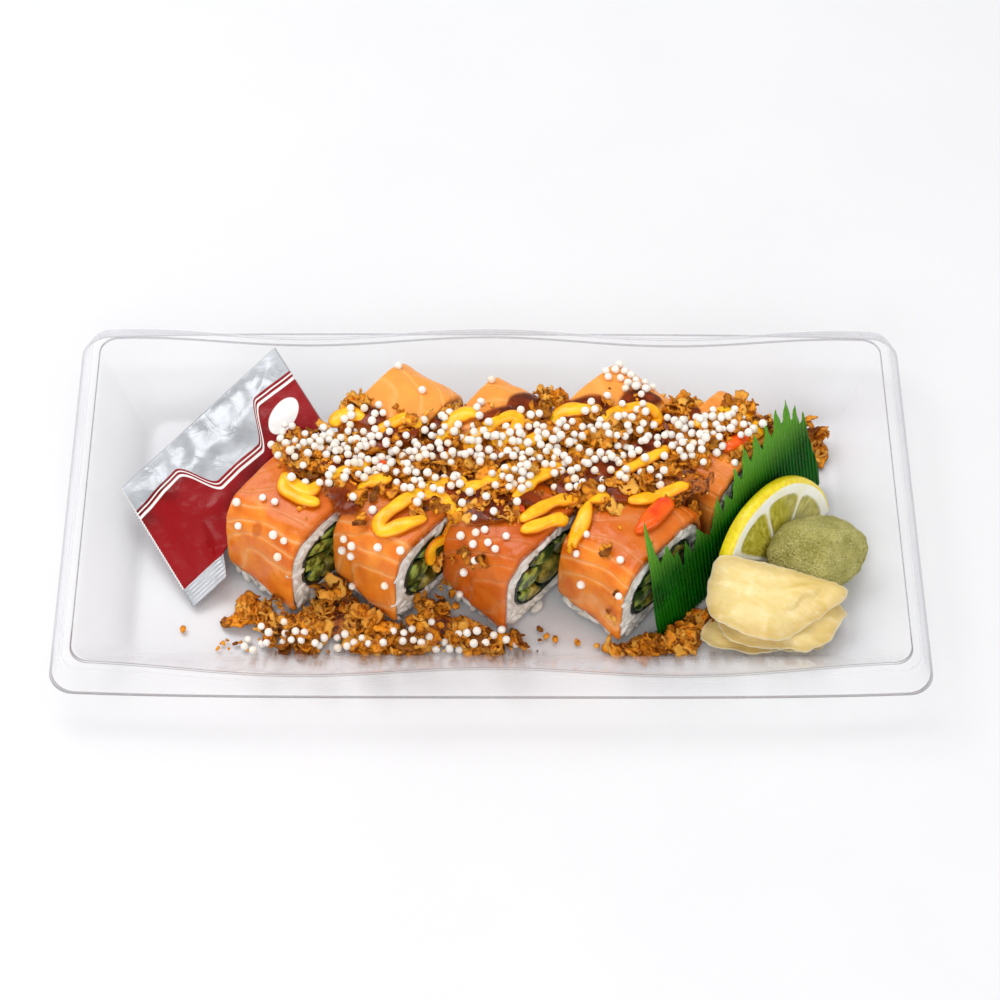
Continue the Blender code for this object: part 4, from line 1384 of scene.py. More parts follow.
def buildWasabi():
    values = wasabiValues
    centre = Vector(values["centre"])
    heights = [p[0] for p in values["profile"]]
    widths = [p[1] for p in values["profile"]]
    rings = []
    for k in range(values["levels"] + 1):
        share = k / values["levels"]
        share = 0.5 - 0.5 * math.cos(math.pi * share)
        width = float(np.interp(share, heights, widths))
        ring = []
        for i in range(values["around"]):
            angle = 2.0 * math.pi * i / values["around"]
            x = values["radius"] * width * math.cos(angle)
            y = values["radius"] * width * values["squash"] * math.sin(angle)
            z = values["height"] * share
            # drawn out to the left, with a crease low on the front and loose crumbs near the crown
            pull = 0.17 * max(0.0, -math.cos(angle)) ** 3 * math.exp(-((share - 0.40) / 0.22) ** 2)
            x *= 1.0 + pull + 0.06 * max(0.0, math.cos(angle)) ** 2
            crease = share - 0.46 - 0.07 * math.sin(angle + 0.6) - 0.03 * math.sin(3.0 * angle)
            onFront = smoothStep(0.55, -0.2, math.sin(angle))
            fold = -values["swirlDepth"] * math.exp(-(crease / 0.035) ** 2) * onFront
            fold += 0.7 * values["swirlDepth"] * smoothStep(0.0, 0.03, crease) * smoothStep(0.3, 0.05, crease)
            lump = values["lumps"] * crumple(x, y, z, 8.0, 3.0) + values["grain"] * crumple(x, y, z, 1.6, 5.0)
            nearCrown = math.exp(-((x - 3.0) ** 2 + (z - 16.0) ** 2) / 14.0)
            crumb = 1.7 * max(0.0, bumps(x, y, z, 1.5, 8.0)) * nearCrown
            length = max(math.hypot(x, y, z - 9.0), 1.0)
            push = (lump + fold + crumb) / length
            x += x * push
            y += y * push
            z += (z - 9.0) * push
            for facing, reach, firm in values["flats"]:
                over = x * facing[0] + y * facing[1] + (z - 9.0) * facing[2] - reach
                if over > 0.0:
                    x -= firm * over * facing[0]
                    y -= firm * over * facing[1]
                    z -= firm * over * facing[2]
            ring.append((centre.x - share + x, centre.y + 0.6 * share + y, max(centre.z, centre.z + z)))
        rings.append(ring)
    points, faces = loftRings(rings)
    shape = makePiece("wasabiBall", points, faces, wasabiPaste)
    finishPiece(shape, "wasabi", "wasabi")


buildWasabi()
print("wasabi done")


gingerValues = {
    "thickness": 0.36, "around": 120, "rings": 30, "ruffle": 0.6, "frayed": 0.6,
    # node, middle of the slice, phase, and its outline
    "petals": (
        ("ginger_top", (69.5, -28.2, 15.4), 0.4,
         ((57.2, -19.8, 16.8), (62.7, -19.2, 17.2), (73.8, -20.8, 15.4), (84.0, -22.5, 12.8),
          (90.6, -24.9, 11.6), (89.4, -28.0, 9.8), (86.0, -30.3, 8.8), (81.9, -33.3, 8.2),
          (75.3, -37.4, 7.4), (68.9, -38.2, 7.6),
          (60.8, -35.5, 8.2), (55.6, -32.0, 9.2), (54.6, -27.1, 11.4), (55.7, -22.8, 14.4))),
        ("ginger_middle", (73.0, -30.5, 8.0), 1.9,
         ((57.6, -30.0, 5.6), (60.5, -36.6, 5.0), (68.0, -38.6, 4.8), (74.6, -38.8, 4.8), (79.6, -39.9, 4.9),
          (85.0, -37.9, 5.0), (87.6, -34.2, 5.4), (90.6, -28.4, 6.6), (84.0, -24.0, 7.4), (70.0, -23.4, 7.4),
          (60.0, -25.4, 6.6))),
        ("ginger_lower", (69.5, -32.0, 3.4), 3.1,
         ((54.0, -31.6, 3.2), (53.6, -35.2, 3.2), (57.0, -37.8, 3.2), (61.5, -38.4, 3.3), (67.4, -39.7, 3.9),
          (73.0, -38.6, 3.3), (78.0, -39.4, 3.6), (84.6, -37.0, 2.9), (87.0, -31.0, 2.6), (80.0, -27.2, 2.6),
          (66.0, -27.0, 2.6), (57.0, -28.4, 2.8))),
    ),
}


def makeGingerMaterial():
    material, nodes, shader = newMaterial("pickledGinger", Roughness=0.2, Specular_IOR_Level=0.4,
                                          Subsurface_Weight=0.12, Subsurface_Radius=(1.0, 0.7, 0.25),
                                          Subsurface_Scale=0.003, Coat_Weight=0.3, Coat_Roughness=0.06)
    thin = nodes.value("nearEdge")
    spread = nodes.value("across")
    colour, pattern = variation(nodes, (0.88, 0.62, 0.20), (0.92, 0.69, 0.27), 9.0, 2.0, 0.32, 0.56)
    vector = nodes.add("ShaderNodeCombineXYZ")
    nodes.feed(vector.inputs[0], nodes.times(spread, 0.22))
    nodes.feed(vector.inputs[1], nodes.value("along"))
    fibres = nodes.noise(1.5, 4.0, vector=vector.outputs[0], distortion=0.3)
    colour = nodes.mix(nodes.ramp(fibres, 0.46, 0.68, 0.0, 0.4), colour, (0.96, 0.80, 0.43))
    colour = nodes.mix(nodes.ramp(thin, 0.6, 0.0, 0.0, 0.9), colour, (0.98, 0.90, 0.64))
    nodes.link(colour, shader.inputs["Base Color"])
    nodes.link(nodes.ramp(thin, 0.2, 4.5, 0.55, 0.95), shader.inputs["Alpha"])
    addBump(nodes, shader, nodes.plus(fibres, nodes.times(pattern, 0.5)), 0.18, 0.4)
    return material


pickledGinger = makeGingerMaterial()


def buildPetal(node, middle, phase, outline):
    # a thin slice spread from its middle to a closed outline, ruffled and frayed towards the edge
    values = gingerValues
    around = values["around"]
    closed = list(outline) * 3
    dense = bezierPath(closed, 0.6)
    third = len(dense) // 3
    loop = dense[third:2 * third]
    centre = Vector(middle)
    edge = []
    acrossValues = []
    alongValues = []
    grid = []
    for k in range(values["rings"] + 1):
        share = 0.02 + 0.98 * (k / values["rings"]) ** 0.85
        row = []
        for i in range(around):
            rim = loop[int(i * len(loop) / around)]
            toRim = rim - centre
            fray = values["frayed"] * bumps(rim.x, rim.y, phase, 1.8) * share ** 4
            point = centre + Vector((toRim.x, toRim.y, 0.0)) * (share + fray / toRim.length)
            point.z = rim.z + (centre.z - rim.z) * (1.0 - share ** 1.7) + 0.45 * smoothStep(0.82, 1.0, share)
            point.z += values["ruffle"] * crumple(point.x, point.y, 0.0, 6.5, phase) * (0.5 + 0.5 * share)
            # long soft pleats along the fibres, tighter at the rim
            drift = 2.0 * bumps(point.x, point.y, phase, 12.0)
            pleat = math.sin(0.75 * (point.x * 0.35 + point.y) + drift + phase)
            point.z += 0.45 * pleat * share ** 2
            if node == "ginger_top":
                # a torn fold near the right end
                along = (point.x - 74.5) * 0.85 + (point.y + 32.0) * 0.52
                off = -(point.x - 74.5) * 0.52 + (point.y + 32.0) * 0.85 + 0.5 * math.sin(0.9 * along)
                reach = smoothStep(-1.5, 2.0, along) * smoothStep(13.0, 8.0, along)
                point.z += reach * 1.0 * smoothStep(-0.25, 0.25, off) * smoothStep(4.5, 0.5, off)
            row.append(tuple(point))
            edge.append((1.0 - share) * toRim.length)
            acrossValues.append(point.x + 1.5 * bumps(point.x, point.y, phase, 8.0))
            alongValues.append(point.y + 0.35 * point.x + 1.5 * bumps(point.y, point.x, phase, 8.0))
        grid.append(row)
    normals = gridNormals(grid, True)
    places = np.asarray(grid)
    if normals[:, :, 2].sum() < 0.0:
        normals = -normals
    rowsCount = values["rings"] + 1
    taper = [0.3 + 0.7 * smoothStep(0.0, 4.0, values["rings"] - k) for k in range(rowsCount)]
    half = 0.5 * values["thickness"] * np.array(taper)
    upper = places + normals * half[:, None, None]
    lower = places - normals * half[:, None, None]
    points = upper.reshape(-1, 3).tolist() + lower.reshape(-1, 3).tolist()
    shift = rowsCount * around
    faces = gridFaces(rowsCount, around, True) + gridFaces(rowsCount, around, True, shift, True)
    last = (rowsCount - 1) * around
    addBelt(faces, last, shift + last, around)
    for start, rows in ((0, upper), (shift, lower)):
        points.append(rows[0].mean(axis=0).tolist())
        addFan(faces, start, around, len(points) - 1)
    edge += edge + [9.0, 9.0]
    acrossValues += acrossValues + [centre.x, centre.x]
    alongValues += alongValues + [centre.y, centre.y]
    shape = makePiece("pickled" + node.split("_")[1].capitalize(), points, faces, pickledGinger,
                      values={"nearEdge": edge, "across": acrossValues, "along": alongValues})
    finishPiece(shape, "pickled_ginger", node)


for petal in gingerValues["petals"]:
    buildPetal(*petal)
print("ginger done")


class Ground:
    # finds the top surface of the pieces built so far, in mm
    def __init__(self, pieces):
        points = []
        faces = []
        for piece in pieces:
            shift = len(points)
            points += [v.co / mm for v in piece.data.vertices]
            faces += [tuple(shift + i for i in polygon.vertices) for polygon in piece.data.polygons]
        self.tree = BVHTree.FromPolygons(points, faces)

    def under(self, x, y, lowest=1.0, start=70.0):
        place, normal = self.tree.ray_cast(Vector((x, y, start)), Vector((0.0, 0.0, -1.0)))[:2]
        if place is None or place.z < lowest:
            return Vector((x, y, lowest)), straightUp
        if normal.z < 0.0:
            normal = -normal
        return place, normal


bandValues = {
    # the toppings' middle line and half width along the tray, from left to right
    "x": (-56.0, -49.0, -23.0, 2.0, 28.0, 53.0, 66.0, 72.0),
    "middle": (2.0, 3.0, 0.5, -0.5, 2.0, 6.0, 9.0, 10.0),
    "half": (4.0, 11.0, 14.0, 14.0, 15.0, 13.0, 8.0, 3.0),
    "bridge": 29.6,
}


def bandAt(x):
    return (float(np.interp(x, bandValues["x"], bandValues["middle"])),
            float(np.interp(x, bandValues["x"], bandValues["half"])))


def inBand(x, y):
    # 1 in the middle of the band, 0 at its edge, below 0 outside
    middle, half = bandAt(x)
    return 1.0 - abs(y - middle) / half


salmonGround = Ground(salmonPieces)


def restLevel(x, y):
    place = salmonGround.under(x, y)[0]
    if inBand(x, y) > 0.0 and place.z < bandValues["bridge"]:
        return bandValues["bridge"] - 1.5 * (1.0 - min(1.0, 3.0 * inBand(x, y)))
    return place.z


sauceValues = {
    "step": 0.5, "around": 14, "lowest": 22.0, "smoothing": 5,
    "mayoWidth": 4.1, "mayoHeight": 1.35,
    "mayo": (
        ((-53, -4), (-50, -8), (-46, -10), (-43, -7)),
        ((-52, -4), (-52, -9), (-48, -12), (-43, -14)),
        ((-34, -9), (-32, -7), (-29, -6), (-25, -5)),
        ((-21, -11), (-17, -10), (-14, -7), (-11, -6), (-6, -5)),
        ((-14, 7), (-12, 10), (-10, 14), (-6, 16), (-3, 15)),
        ((-7, 5), (-2, 10), (1, 13), (6, 15), (7, 13), (5, 9), (0, 6)),
        ((-41, 13), (-39, 16), (-35, 16), (-32, 14)),
        ((-30, 10), (-26, 12), (-22, 14), (-19, 12), (-21, 11)),
        ((6, 6), (12, 9), (15, 12), (17, 16), (20, 17), (24, 17), (29, 17)),
        ((27, 11), (31, 15), (36, 17), (41, 17), (43, 15), (41, 13)),
        ((5, -12), (9, -7), (12, -4), (18, 1)),
        ((30, -9), (25, -12), (23, -17), (21, -21), (20, -24)),
        ((34, -11), (40, -10), (44, -8), (50, -5)),
        ((52, 11), (56, 14), (61, 17), (65, 16), (68, 12), (68, 8)),
        ((61, 16), (62, 13), (61, 9)),
        ((-11, -8), (-16, -9), (-20, -11), (-24, -14), (-28, -18), (-27, -21), (-23, -20), (-16, -18)),
        ((7, -18), (12, -14), (17, -11), (22, -10)),
        ((7, -21), (12, -19), (16, -17), (18.5, -15)),
        ((-9, -8), (-2, -6), (3, -3), (7, 1)),
        ((-7, -14), (-11, -13), (-14, -11), (-21, -11)),
        ((-42, -6), (-36, -2), (-30, 2)),
        ((46, 6), (38, 1), (31, -4)),
    ),
    # runs down over the second slice's cut face; written along, across and up in that slice's own frame
    "drip": ((10.8, 6.0, 28.6), (11.3, 4.0, 25.5), (11.4, 2.0, 22.5), (11.4, -1.0, 23.5), (11.4, -3.2, 24.0),
             (11.4, -3.6, 20.0), (11.4, -3.2, 16.5)),
    "brownWidth": 7.4, "brownHeight": 0.8,
    "brown": (
        ((-36, 15), (-32, 15), (-27, 14)),
        ((-16, 12), (-13, 15)),
        ((4, 17), (8, 20), (13, 22)),
        ((17, 16), (24, 18), (31, 18)),
        ((33, 17), (38, 20), (44, 20.5)),
        ((16, -9), (19, -7), (23, -3)),
        ((30, -11), (35, -6)),
        ((0, -12), (4, -7)),
        ((-7, -16), (0, -15), (5, -15)),
        ((58, 4), (60, 7), (64, 10)),
        ((-18, -13), (-16, -11), (-12, -7)),
        ((19, -1), (20, -6), (20, -11)),
        ((-14, -8.5), (-8, -9.6), (3, -12)),
        ((29, -7), (35, -11)),
        ((-3, 12), (2, 15), (8, 16)),
        ((44, 12), (49, 15), (54, 17)),
        ((-30, 6), (-24, 9), (-18, 9)),
        ((-44, -3), (-38, 0), (-34, 1)), ((-22, 1), (-16, 4), (-10, 5)), ((9, 10), (13, 13), (17, 16)),
        ((35, 3), (40, 6), (46, 8)), ((-41, -9), (-37, -12), (-33, -14)), ((4, -9), (9, -11), (13, -12)),
        ((23, -4), (28, -2), (33, 0)),
    ),
    "chiliWidth": 5.2, "chiliHeight": 2.2,
    "chili": (
        ((59, 4), (62, 6), (66, 9)),
        ((36, -21), (39, -18), (41, -15.5), (45, -10)),
        ((-28, -2), (-28, 2)),
        ((6, -15), (8, -13)),
    ),
}
mayoRoutes = [bezierPath([(x, y, 0.0) for x, y in stroke], 1.0) for stroke in sauceValues["mayo"]]


def nearMayo(x, y, reach):
    return any(abs(p.x - x) < reach and abs(p.y - y) < reach for route in mayoRoutes for p in route)


onionValues = {
    "coreStep": 0.9, "coreFloor": 22.0, "coreThickness": 1.3, "coreHeight": 0.5,
    "flakes": 14, "flakeLength": 5.8, "flakeWidth": 2.6, "flakeThickness": 0.36,
    "topCount": 600, "frontLeftCount": 470, "frontRightCount": 110, "backRightCount": 42,
    "crumbs": 420, "tries": 20000, "topSeed": 11, "crumbSeed": 31, "straySeed": 44,
    # from left to right, and the level below which nothing rests on the slices
    "topSpan": (-54.0, 72.0), "topLowest": 27.0, "crumbSpan": (-54.0, 70.0), "crumbLowest": 20.0,
    # the toppings end this far along a direction that faces the leaf divider
    "limit": 46.6, "limitFacing": (0.7547, 0.6561),
    # slice, share of its length from the middle, degrees round it, size
    "strays": (("front1", 0.32, 186.0, 0.7), ("front1", 0.40, 192.0, 0.6), ("front2", -0.2, 126.0, 0.8),
               ("front3", -0.46, 176.0, 0.8), ("front3", -0.44, 188.0, 0.7), ("front3", -0.3, 170.0, 0.5),
               ("front3", -0.12, 150.0, 0.9), ("front3", -0.02, 158.0, 0.8), ("front3", 0.14, 146.0, 0.9),
               ("front4", 0.36, 180.0, 0.6), ("front4", 0.44, 160.0, 0.4), ("front4", 0.0, 120.0, 0.9)),
    # x, y, lowest level, reach, rise and count of the tufts standing round the band's back edge
    "tufts": ((-34.5, 20.0, 30.0, 1.8, 3.4, 26), (-9.5, 17.5, 28.5, 2.2, 2.6, 26),
              (15.5, 21.5, 28.5, 2.4, 3.6, 34), (49.5, 18.5, 28.5, 3.0, 4.0, 42),
              (64.0, 19.0, 30.0, 1.8, 2.0, 16), (-51.0, 7.0, 29.5, 2.2, 2.6, 24)),
    # x, y, reach, height and count of the flakes fallen into a pocket beside the heaps
    "pockets": ((-41.5, -22.0, 2.6, 6.0, 26), (-14.5, -25.0, 2.4, 5.0, 20), (6.5, -35.0, 1.6, 1.0, 6),
                (86.0, 29.5, 1.6, 9.0, 10), (-63.0, -29.0, 2.0, 1.5, 8)),
}


def makeOnionMaterial():
    material, nodes, shader = newMaterial("friedOnion", Roughness=0.42, Specular_IOR_Level=0.18,
                                          Subsurface_Weight=0.05, Subsurface_Radius=(0.6, 0.3, 0.1),
                                          Subsurface_Scale=0.0015)
    tone = nodes.value("tone")
    grain, pattern = variation(nodes, (0.36, 0.085, 0.002), (0.90, 0.335, 0.016), 1.6, 4.0, 0.34, 0.58)
    dark = nodes.mix(nodes.ramp(tone, 0.34, 0.0, 0.0, 0.85), grain, (0.10, 0.018, 0.001))
    colour = nodes.mix(nodes.ramp(tone, 0.60, 0.95, 0.0, 0.8), dark, (0.98, 0.52, 0.085))
    # darker along the curled edges
    colour = nodes.mix(nodes.ramp(nodes.value("rimShare"), 0.7, 1.0, 0.0, 0.4), colour, (0.20, 0.040, 0.001))
    fine = nodes.mottle(0.5, 2.0)
    colour = nodes.mix(nodes.ramp(fine, 0.6, 0.8, 0.0, 0.4), colour, (0.95, 0.58, 0.16))
    nodes.link(colour, shader.inputs["Base Color"])
    nodes.link(nodes.ramp(pattern, 0.3, 0.7, 0.3, 0.6), shader.inputs["Roughness"])
    addBump(nodes, shader, nodes.plus(pattern, nodes.times(fine, 0.6)), 0.3, 0.9)
    return material


def makeSoakedMaterial():
    material, nodes, shader = newMaterial("soakedCrumb", Roughness=0.32, Specular_IOR_Level=0.3,
                                          Coat_Weight=0.12, Coat_Roughness=0.1)
    grain, pattern = variation(nodes, (0.10, 0.016, 0.001), (0.50, 0.13, 0.006), 1.8, 5.0, 0.38, 0.60)
    light = nodes.mottle(1.1, 3.0)
    colour = nodes.mix(nodes.ramp(light, 0.56, 0.72, 0.0, 0.6), grain, (0.70, 0.26, 0.025))
    nodes.link(colour, shader.inputs["Base Color"])
    nodes.link(nodes.ramp(light, 0.4, 0.7, 0.18, 0.5), shader.inputs["Roughness"])
    addBump(nodes, shader, nodes.plus(pattern, light), 0.6, 0.9)
    return material


friedOnion = makeOnionMaterial()
soakedCrumb = makeSoakedMaterial()


def makeScatterGroup():
    # puts a random variant on each point; "turn", "size" and "tone" are the points' own attributes
    group = bpy.data.node_groups.new("scatterOnPoints", "GeometryNodeTree")
    for name, kind in (("Geometry", "NodeSocketGeometry"), ("Variants", "NodeSocketCollection"),
                       ("Variant Count", "NodeSocketInt"), ("Scale", "NodeSocketFloat"),
                       ("Seed", "NodeSocketInt"), ("Material", "NodeSocketMaterial")):
        group.interface.new_socket(name, in_out="INPUT", socket_type=kind)
    group.interface.new_socket("Geometry", in_out="OUTPUT", socket_type="NodeSocketGeometry")
    nodes = Nodes(group)
    source = nodes.add("NodeGroupInput")
    target = nodes.add("NodeGroupOutput")
    variants = nodes.add("GeometryNodeCollectionInfo")
    variants.inputs["Separate Children"].default_value = True
    variants.inputs["Reset Children"].default_value = True
    nodes.link(source.outputs["Variants"], variants.inputs["Collection"])
    last = nodes.add("ShaderNodeMath", operation="SUBTRACT")
    nodes.link(source.outputs["Variant Count"], last.inputs[0])
    last.inputs[1].default_value = 1.0
    pick = nodes.add("FunctionNodeRandomValue", data_type="INT")
    nodes.link(last.outputs[0], pick.inputs[5])
    nodes.link(source.outputs["Seed"], pick.inputs["Seed"])
    turn = nodes.add("GeometryNodeInputNamedAttribute", data_type="FLOAT_VECTOR")
    turn.inputs["Name"].default_value = "turn"
    size = nodes.add("GeometryNodeInputNamedAttribute", data_type="FLOAT")
    size.inputs["Name"].default_value = "size"
    scaled = nodes.add("ShaderNodeMath", operation="MULTIPLY")
    nodes.link(size.outputs["Attribute"], scaled.inputs[0])
    nodes.link(source.outputs["Scale"], scaled.inputs[1])
    place = nodes.add("GeometryNodeInstanceOnPoints")
    place.inputs["Pick Instance"].default_value = True
    nodes.link(source.outputs["Geometry"], place.inputs["Points"])
    nodes.link(variants.outputs[0], place.inputs["Instance"])
    nodes.link(pick.outputs[2], place.inputs["Instance Index"])
    nodes.link(turn.outputs["Attribute"], place.inputs["Rotation"])
    nodes.link(scaled.outputs[0], place.inputs["Scale"])
    real = nodes.add("GeometryNodeRealizeInstances")
    nodes.link(place.outputs[0], real.inputs["Geometry"])
    paint = nodes.add("GeometryNodeSetMaterial")
    nodes.link(real.outputs[0], paint.inputs["Geometry"])
    nodes.link(source.outputs["Material"], paint.inputs["Material"])
    nodes.link(paint.outputs[0], target.inputs["Geometry"])
    return group


scatterGroup = makeScatterGroup()


def scatter(name, spots, variants, material, seed, scale=1.0):
    # spots: (place in mm, turn, size, tone); gives one joined mesh
    mesh = bpy.data.meshes.new(name + "Points")
    mesh.from_pydata([tuple(Vector(spot[0]) * mm) for spot in spots], [], [])
    turns = mesh.attributes.new("turn", "FLOAT_VECTOR", "POINT")
    turns.data.foreach_set("vector", np.asarray([tuple(spot[1]) for spot in spots], dtype=np.float32).ravel())
    addNumbers(mesh, "size", [spot[2] for spot in spots])
    addNumbers(mesh, "tone", [spot[3] for spot in spots])
    source = bpy.data.objects.new(name + "Points", mesh)
    bpy.context.scene.collection.objects.link(source)
    modifier = source.modifiers.new("scatter", "NODES")
    modifier.node_group = scatterGroup
    sockets = {item.name: item.identifier for item in scatterGroup.interface.items_tree
               if item.in_out == "INPUT"}
    modifier[sockets["Variants"]] = variants
    modifier[sockets["Variant Count"]] = len(variants.objects)
    modifier[sockets["Scale"]] = scale
    modifier[sockets["Seed"]] = seed
    modifier[sockets["Material"]] = material
    evaluated = source.evaluated_get(bpy.context.evaluated_depsgraph_get())
    joined = bpy.data.meshes.new_from_object(evaluated)
    joined.name = name
    # nothing sinks through the tray's floor
    coordinates = np.empty(3 * len(joined.vertices), dtype=np.float32)
    joined.vertices.foreach_get("co", coordinates)
    coordinates[2::3] = np.maximum(coordinates[2::3], floorTop * mm)
    joined.vertices.foreach_set("co", coordinates)
    bpy.data.objects.remove(source, do_unlink=True)
    bpy.data.meshes.remove(mesh)
    joined.shade_smooth()
    piece = bpy.data.objects.new(name, joined)
    bpy.context.scene.collection.objects.link(piece)
    return piece


def variantCollection(name, builders):
    collection = bpy.data.collections.new(name)
    for k, (points, faces, *shares) in enumerate(builders):
        mesh = bpy.data.meshes.new("%s%d" % (name, k))
        mesh.from_pydata((np.asarray(points, dtype=float) * mm).tolist(), [], faces)
        if shares:
            addNumbers(mesh, "rimShare", shares[0])
        faceOutwards(mesh)
        mesh.shade_smooth()
        collection.objects.link(bpy.data.objects.new("%s%d" % (name, k), mesh))
    return collection


def flakeShape(seed):
    # a thin crinkled chip of onion, curled along its length
    chance = random.Random(seed)
    columns = 10
    rows = 6
    length = onionValues["flakeLength"] * chance.uniform(0.6, 1.45)
    width = onionValues["flakeWidth"] * chance.uniform(0.4, 1.5)
    curl = chance.uniform(0.4, 2.4) / length
    twist = chance.uniform(-0.8, 0.8)
    grid = []
    for i in range(columns):
        t = i / (columns - 1) - 0.5
        bend = curl * t * length
        x = math.sin(bend) / curl
        z = (1.0 - math.cos(bend)) / curl
        reach = width * (0.35 + 0.65 * max(0.0, math.cos(math.pi * t * 0.92)) ** 0.6)
        reach *= 1.0 + 0.6 * bumps(t * 9.0, seed * 1.7, 0.0, 1.9)
        row = []
        for j in range(rows):
            side = j / (rows - 1) - 0.5
            y = reach * side
            lift = 0.9 * crumple(x * 1.3, y * 1.3, seed * 3.1, 1.7, seed) + 0.5 * width * side * side
            angle = twist * t * 2.0
            row.append((x + 0.3 * bumps(y, seed, 2.0, 1.0), y * math.cos(angle) - lift * math.sin(angle),
                        z + y * math.sin(angle) + lift * math.cos(angle)))
        grid.append(row)
    normals = gridNormals(grid)
    middle = np.asarray(grid)
    half = 0.5 * onionValues["flakeThickness"]
    share = [max(abs(2.0 * j / (rows - 1) - 1.0), abs(2.0 * i / (columns - 1) - 1.0) ** 3)
             for i in range(columns) for j in range(rows)]
    points, faces = shellFromGrids((middle + normals * half).tolist(), (middle - normals * half).tolist())
    return points, faces, share + share


def crumbShape(seed):
    shape = bmesh.new()
    bmesh.ops.create_icosphere(shape, subdivisions=1, radius=0.55)
    points = []
    for vertex in shape.verts:
        p = vertex.co
        grow = 1.0 + 0.5 * noise.noise(p * 2.0 + Vector((seed * 5.0, 0.0, 0.0)))
        points.append((p.x * grow * 1.4, p.y * grow, p.z * grow * 0.7))
    faces = [tuple(v.index for v in face.verts) for face in shape.faces]
    shape.free()
    return points, faces


flakeSeeds = range(1, 1 + onionValues["flakes"])
flakeVariants = variantCollection("onionFlake", [flakeShape(seed) for seed in flakeSeeds])
crumbVariants = variantCollection("onionCrumb", [crumbShape(seed) for seed in range(4)])


def pastLeaf(x, y, gap):
    facing = onionValues["limitFacing"]
    return facing[0] * x - facing[1] * y > onionValues["limit"] - gap


def buildOnionCore():
    # the soaked crumbs over and between the slices; it opens here and there onto the salmon
    step = onionValues["coreStep"]
    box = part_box("fried_onions_top")
    lowX = box[0][0] / mm
    highX = box[1][0] / mm
    columns = int((highX - lowX) / step)
    rows = 34
    facing = onionValues["limitFacing"]
    upper = []
    kept = {}
    for i in range(columns + 1):
        x = lowX + (highX - lowX) * i / columns
        middle, half = bandAt(x)
        for j in range(rows + 1):
            side = 2.0 * j / rows - 1.0
            y = middle - 2.0 + half * 0.98 * side * (1.0 + 0.16 * bumps(x, side, 0.0, 6.0))
            y = max(y, (x * facing[0] - onionValues["limit"]) / facing[1] + 0.6 * side)
            place = salmonGround.under(x, y)[0]
            valley = place.z < bandValues["bridge"] - 1.0
            level = restLevel(x, y) + onionValues["coreHeight"] + 0.8 * crumple(x, y, 0.0, 5.0, 4.0)
            if valley:
                level -= 1.2
            upper.append((x, y, level))
            opening = bumps(x, y, 0.0, 7.5, 9.0) + 0.6 * bumps(x, y, 0.0, 3.0, 2.0) - 0.55 * (abs(side) ** 3)
            onSlices = level > onionValues["coreFloor"]
            kept[(i, j)] = onSlices and (valley or opening > -0.02)
    faces = []
    for i in range(columns):
        for j in range(rows):
            if kept[(i, j)] and kept[(i + 1, j)] and kept[(i, j + 1)] and kept[(i + 1, j + 1)]:
                a = i * (rows + 1) + j
                faces.append((a, a + rows + 1, a + rows + 2, a + 1))
    core = makePiece("onionCoreTop", upper, faces, soakedCrumb, fixNormals=False)
    shape = bmesh.new()
    shape.from_mesh(core.data)
    loose = [v for v in shape.verts if not v.link_faces]
    bmesh.ops.delete(shape, geom=loose, context="VERTS")
    for _ in range(2):
        thin = [v for v in shape.verts if len(v.link_faces) != len(v.link_edges) - 1 and v.is_boundary
                and len(v.link_edges) > len(v.link_faces) + 1]
        bmesh.ops.delete(shape, geom=thin, context="VERTS")
    shape.normal_update()
    if sum(face.normal.z for face in shape.faces) < 0.0:
        bmesh.ops.reverse_faces(shape, faces=shape.faces)
    shape.to_mesh(core.data)
    shape.free()
    thicken = core.modifiers.new("thicken", "SOLIDIFY")
    thicken.thickness = onionValues["coreThickness"] * mm
    thicken.offset = -1.0
    evaluated = core.evaluated_get(bpy.context.evaluated_depsgraph_get())
    solid = bpy.data.meshes.new_from_object(evaluated)
    core.modifiers.remove(thicken)
    core.data = solid
    core.data.shade_smooth()
    return core


onionCore = buildOnionCore()
topGround = Ground(salmonPieces + [onionCore])


def flakeSpot(chance, place, normal, lift, tilt, size, tone):
    upright = normal.to_track_quat("Z", "Y")
    spin = Euler((chance.uniform(-tilt, tilt), chance.uniform(-tilt, tilt),
                  chance.uniform(0.0, 2.0 * math.pi)))
    turn = (upright.to_matrix() @ spin.to_matrix()).to_euler()
    if chance.random() < 0.35:
        turn = (upright.to_matrix() @ spin.to_matrix() @ Matrix.Rotation(math.pi, 3, "X")).to_euler()
    return (place + normal * lift, turn, size, tone)


def buildTopFlakes():
    chance = random.Random(onionValues["topSeed"])
    spots = []
    tries = 0
    while len(spots) < onionValues["topCount"] and tries < onionValues["tries"]:
        tries += 1
        x = chance.uniform(*onionValues["topSpan"])
        middle, half = bandAt(x)
        y = middle + half * 1.12 * max(-1.0, min(1.0, chance.gauss(0.0, 0.55)))
        if pastLeaf(x, y, 1.0):
            continue
        clump = bumps(x, y, 0.0, 8.0, 6.0)
        if chance.random() > 0.55 + 1.3 * clump:
            continue
        if nearMayo(x, y, 1.7) and chance.random() < 0.8:
            continue
        place, normal = topGround.under(x, y)
        if place.z < onionValues["topLowest"]:
            place.z = restLevel(x, y)
            normal = straightUp
        spots.append(flakeSpot(chance, place, normal, chance.uniform(0.2, 1.6), 0.5,
                               chance.uniform(0.5, 1.15), chance.random()))
    piece = scatter("onionFlakesTop", spots, flakeVariants, friedOnion, seed=3)
    finishPiece(piece, "fried_onion", "fried_onions_top")
    finishPiece(onionCore, "fried_onion")
    return piece


topFlakes = buildTopFlakes()
print("onions on top done")

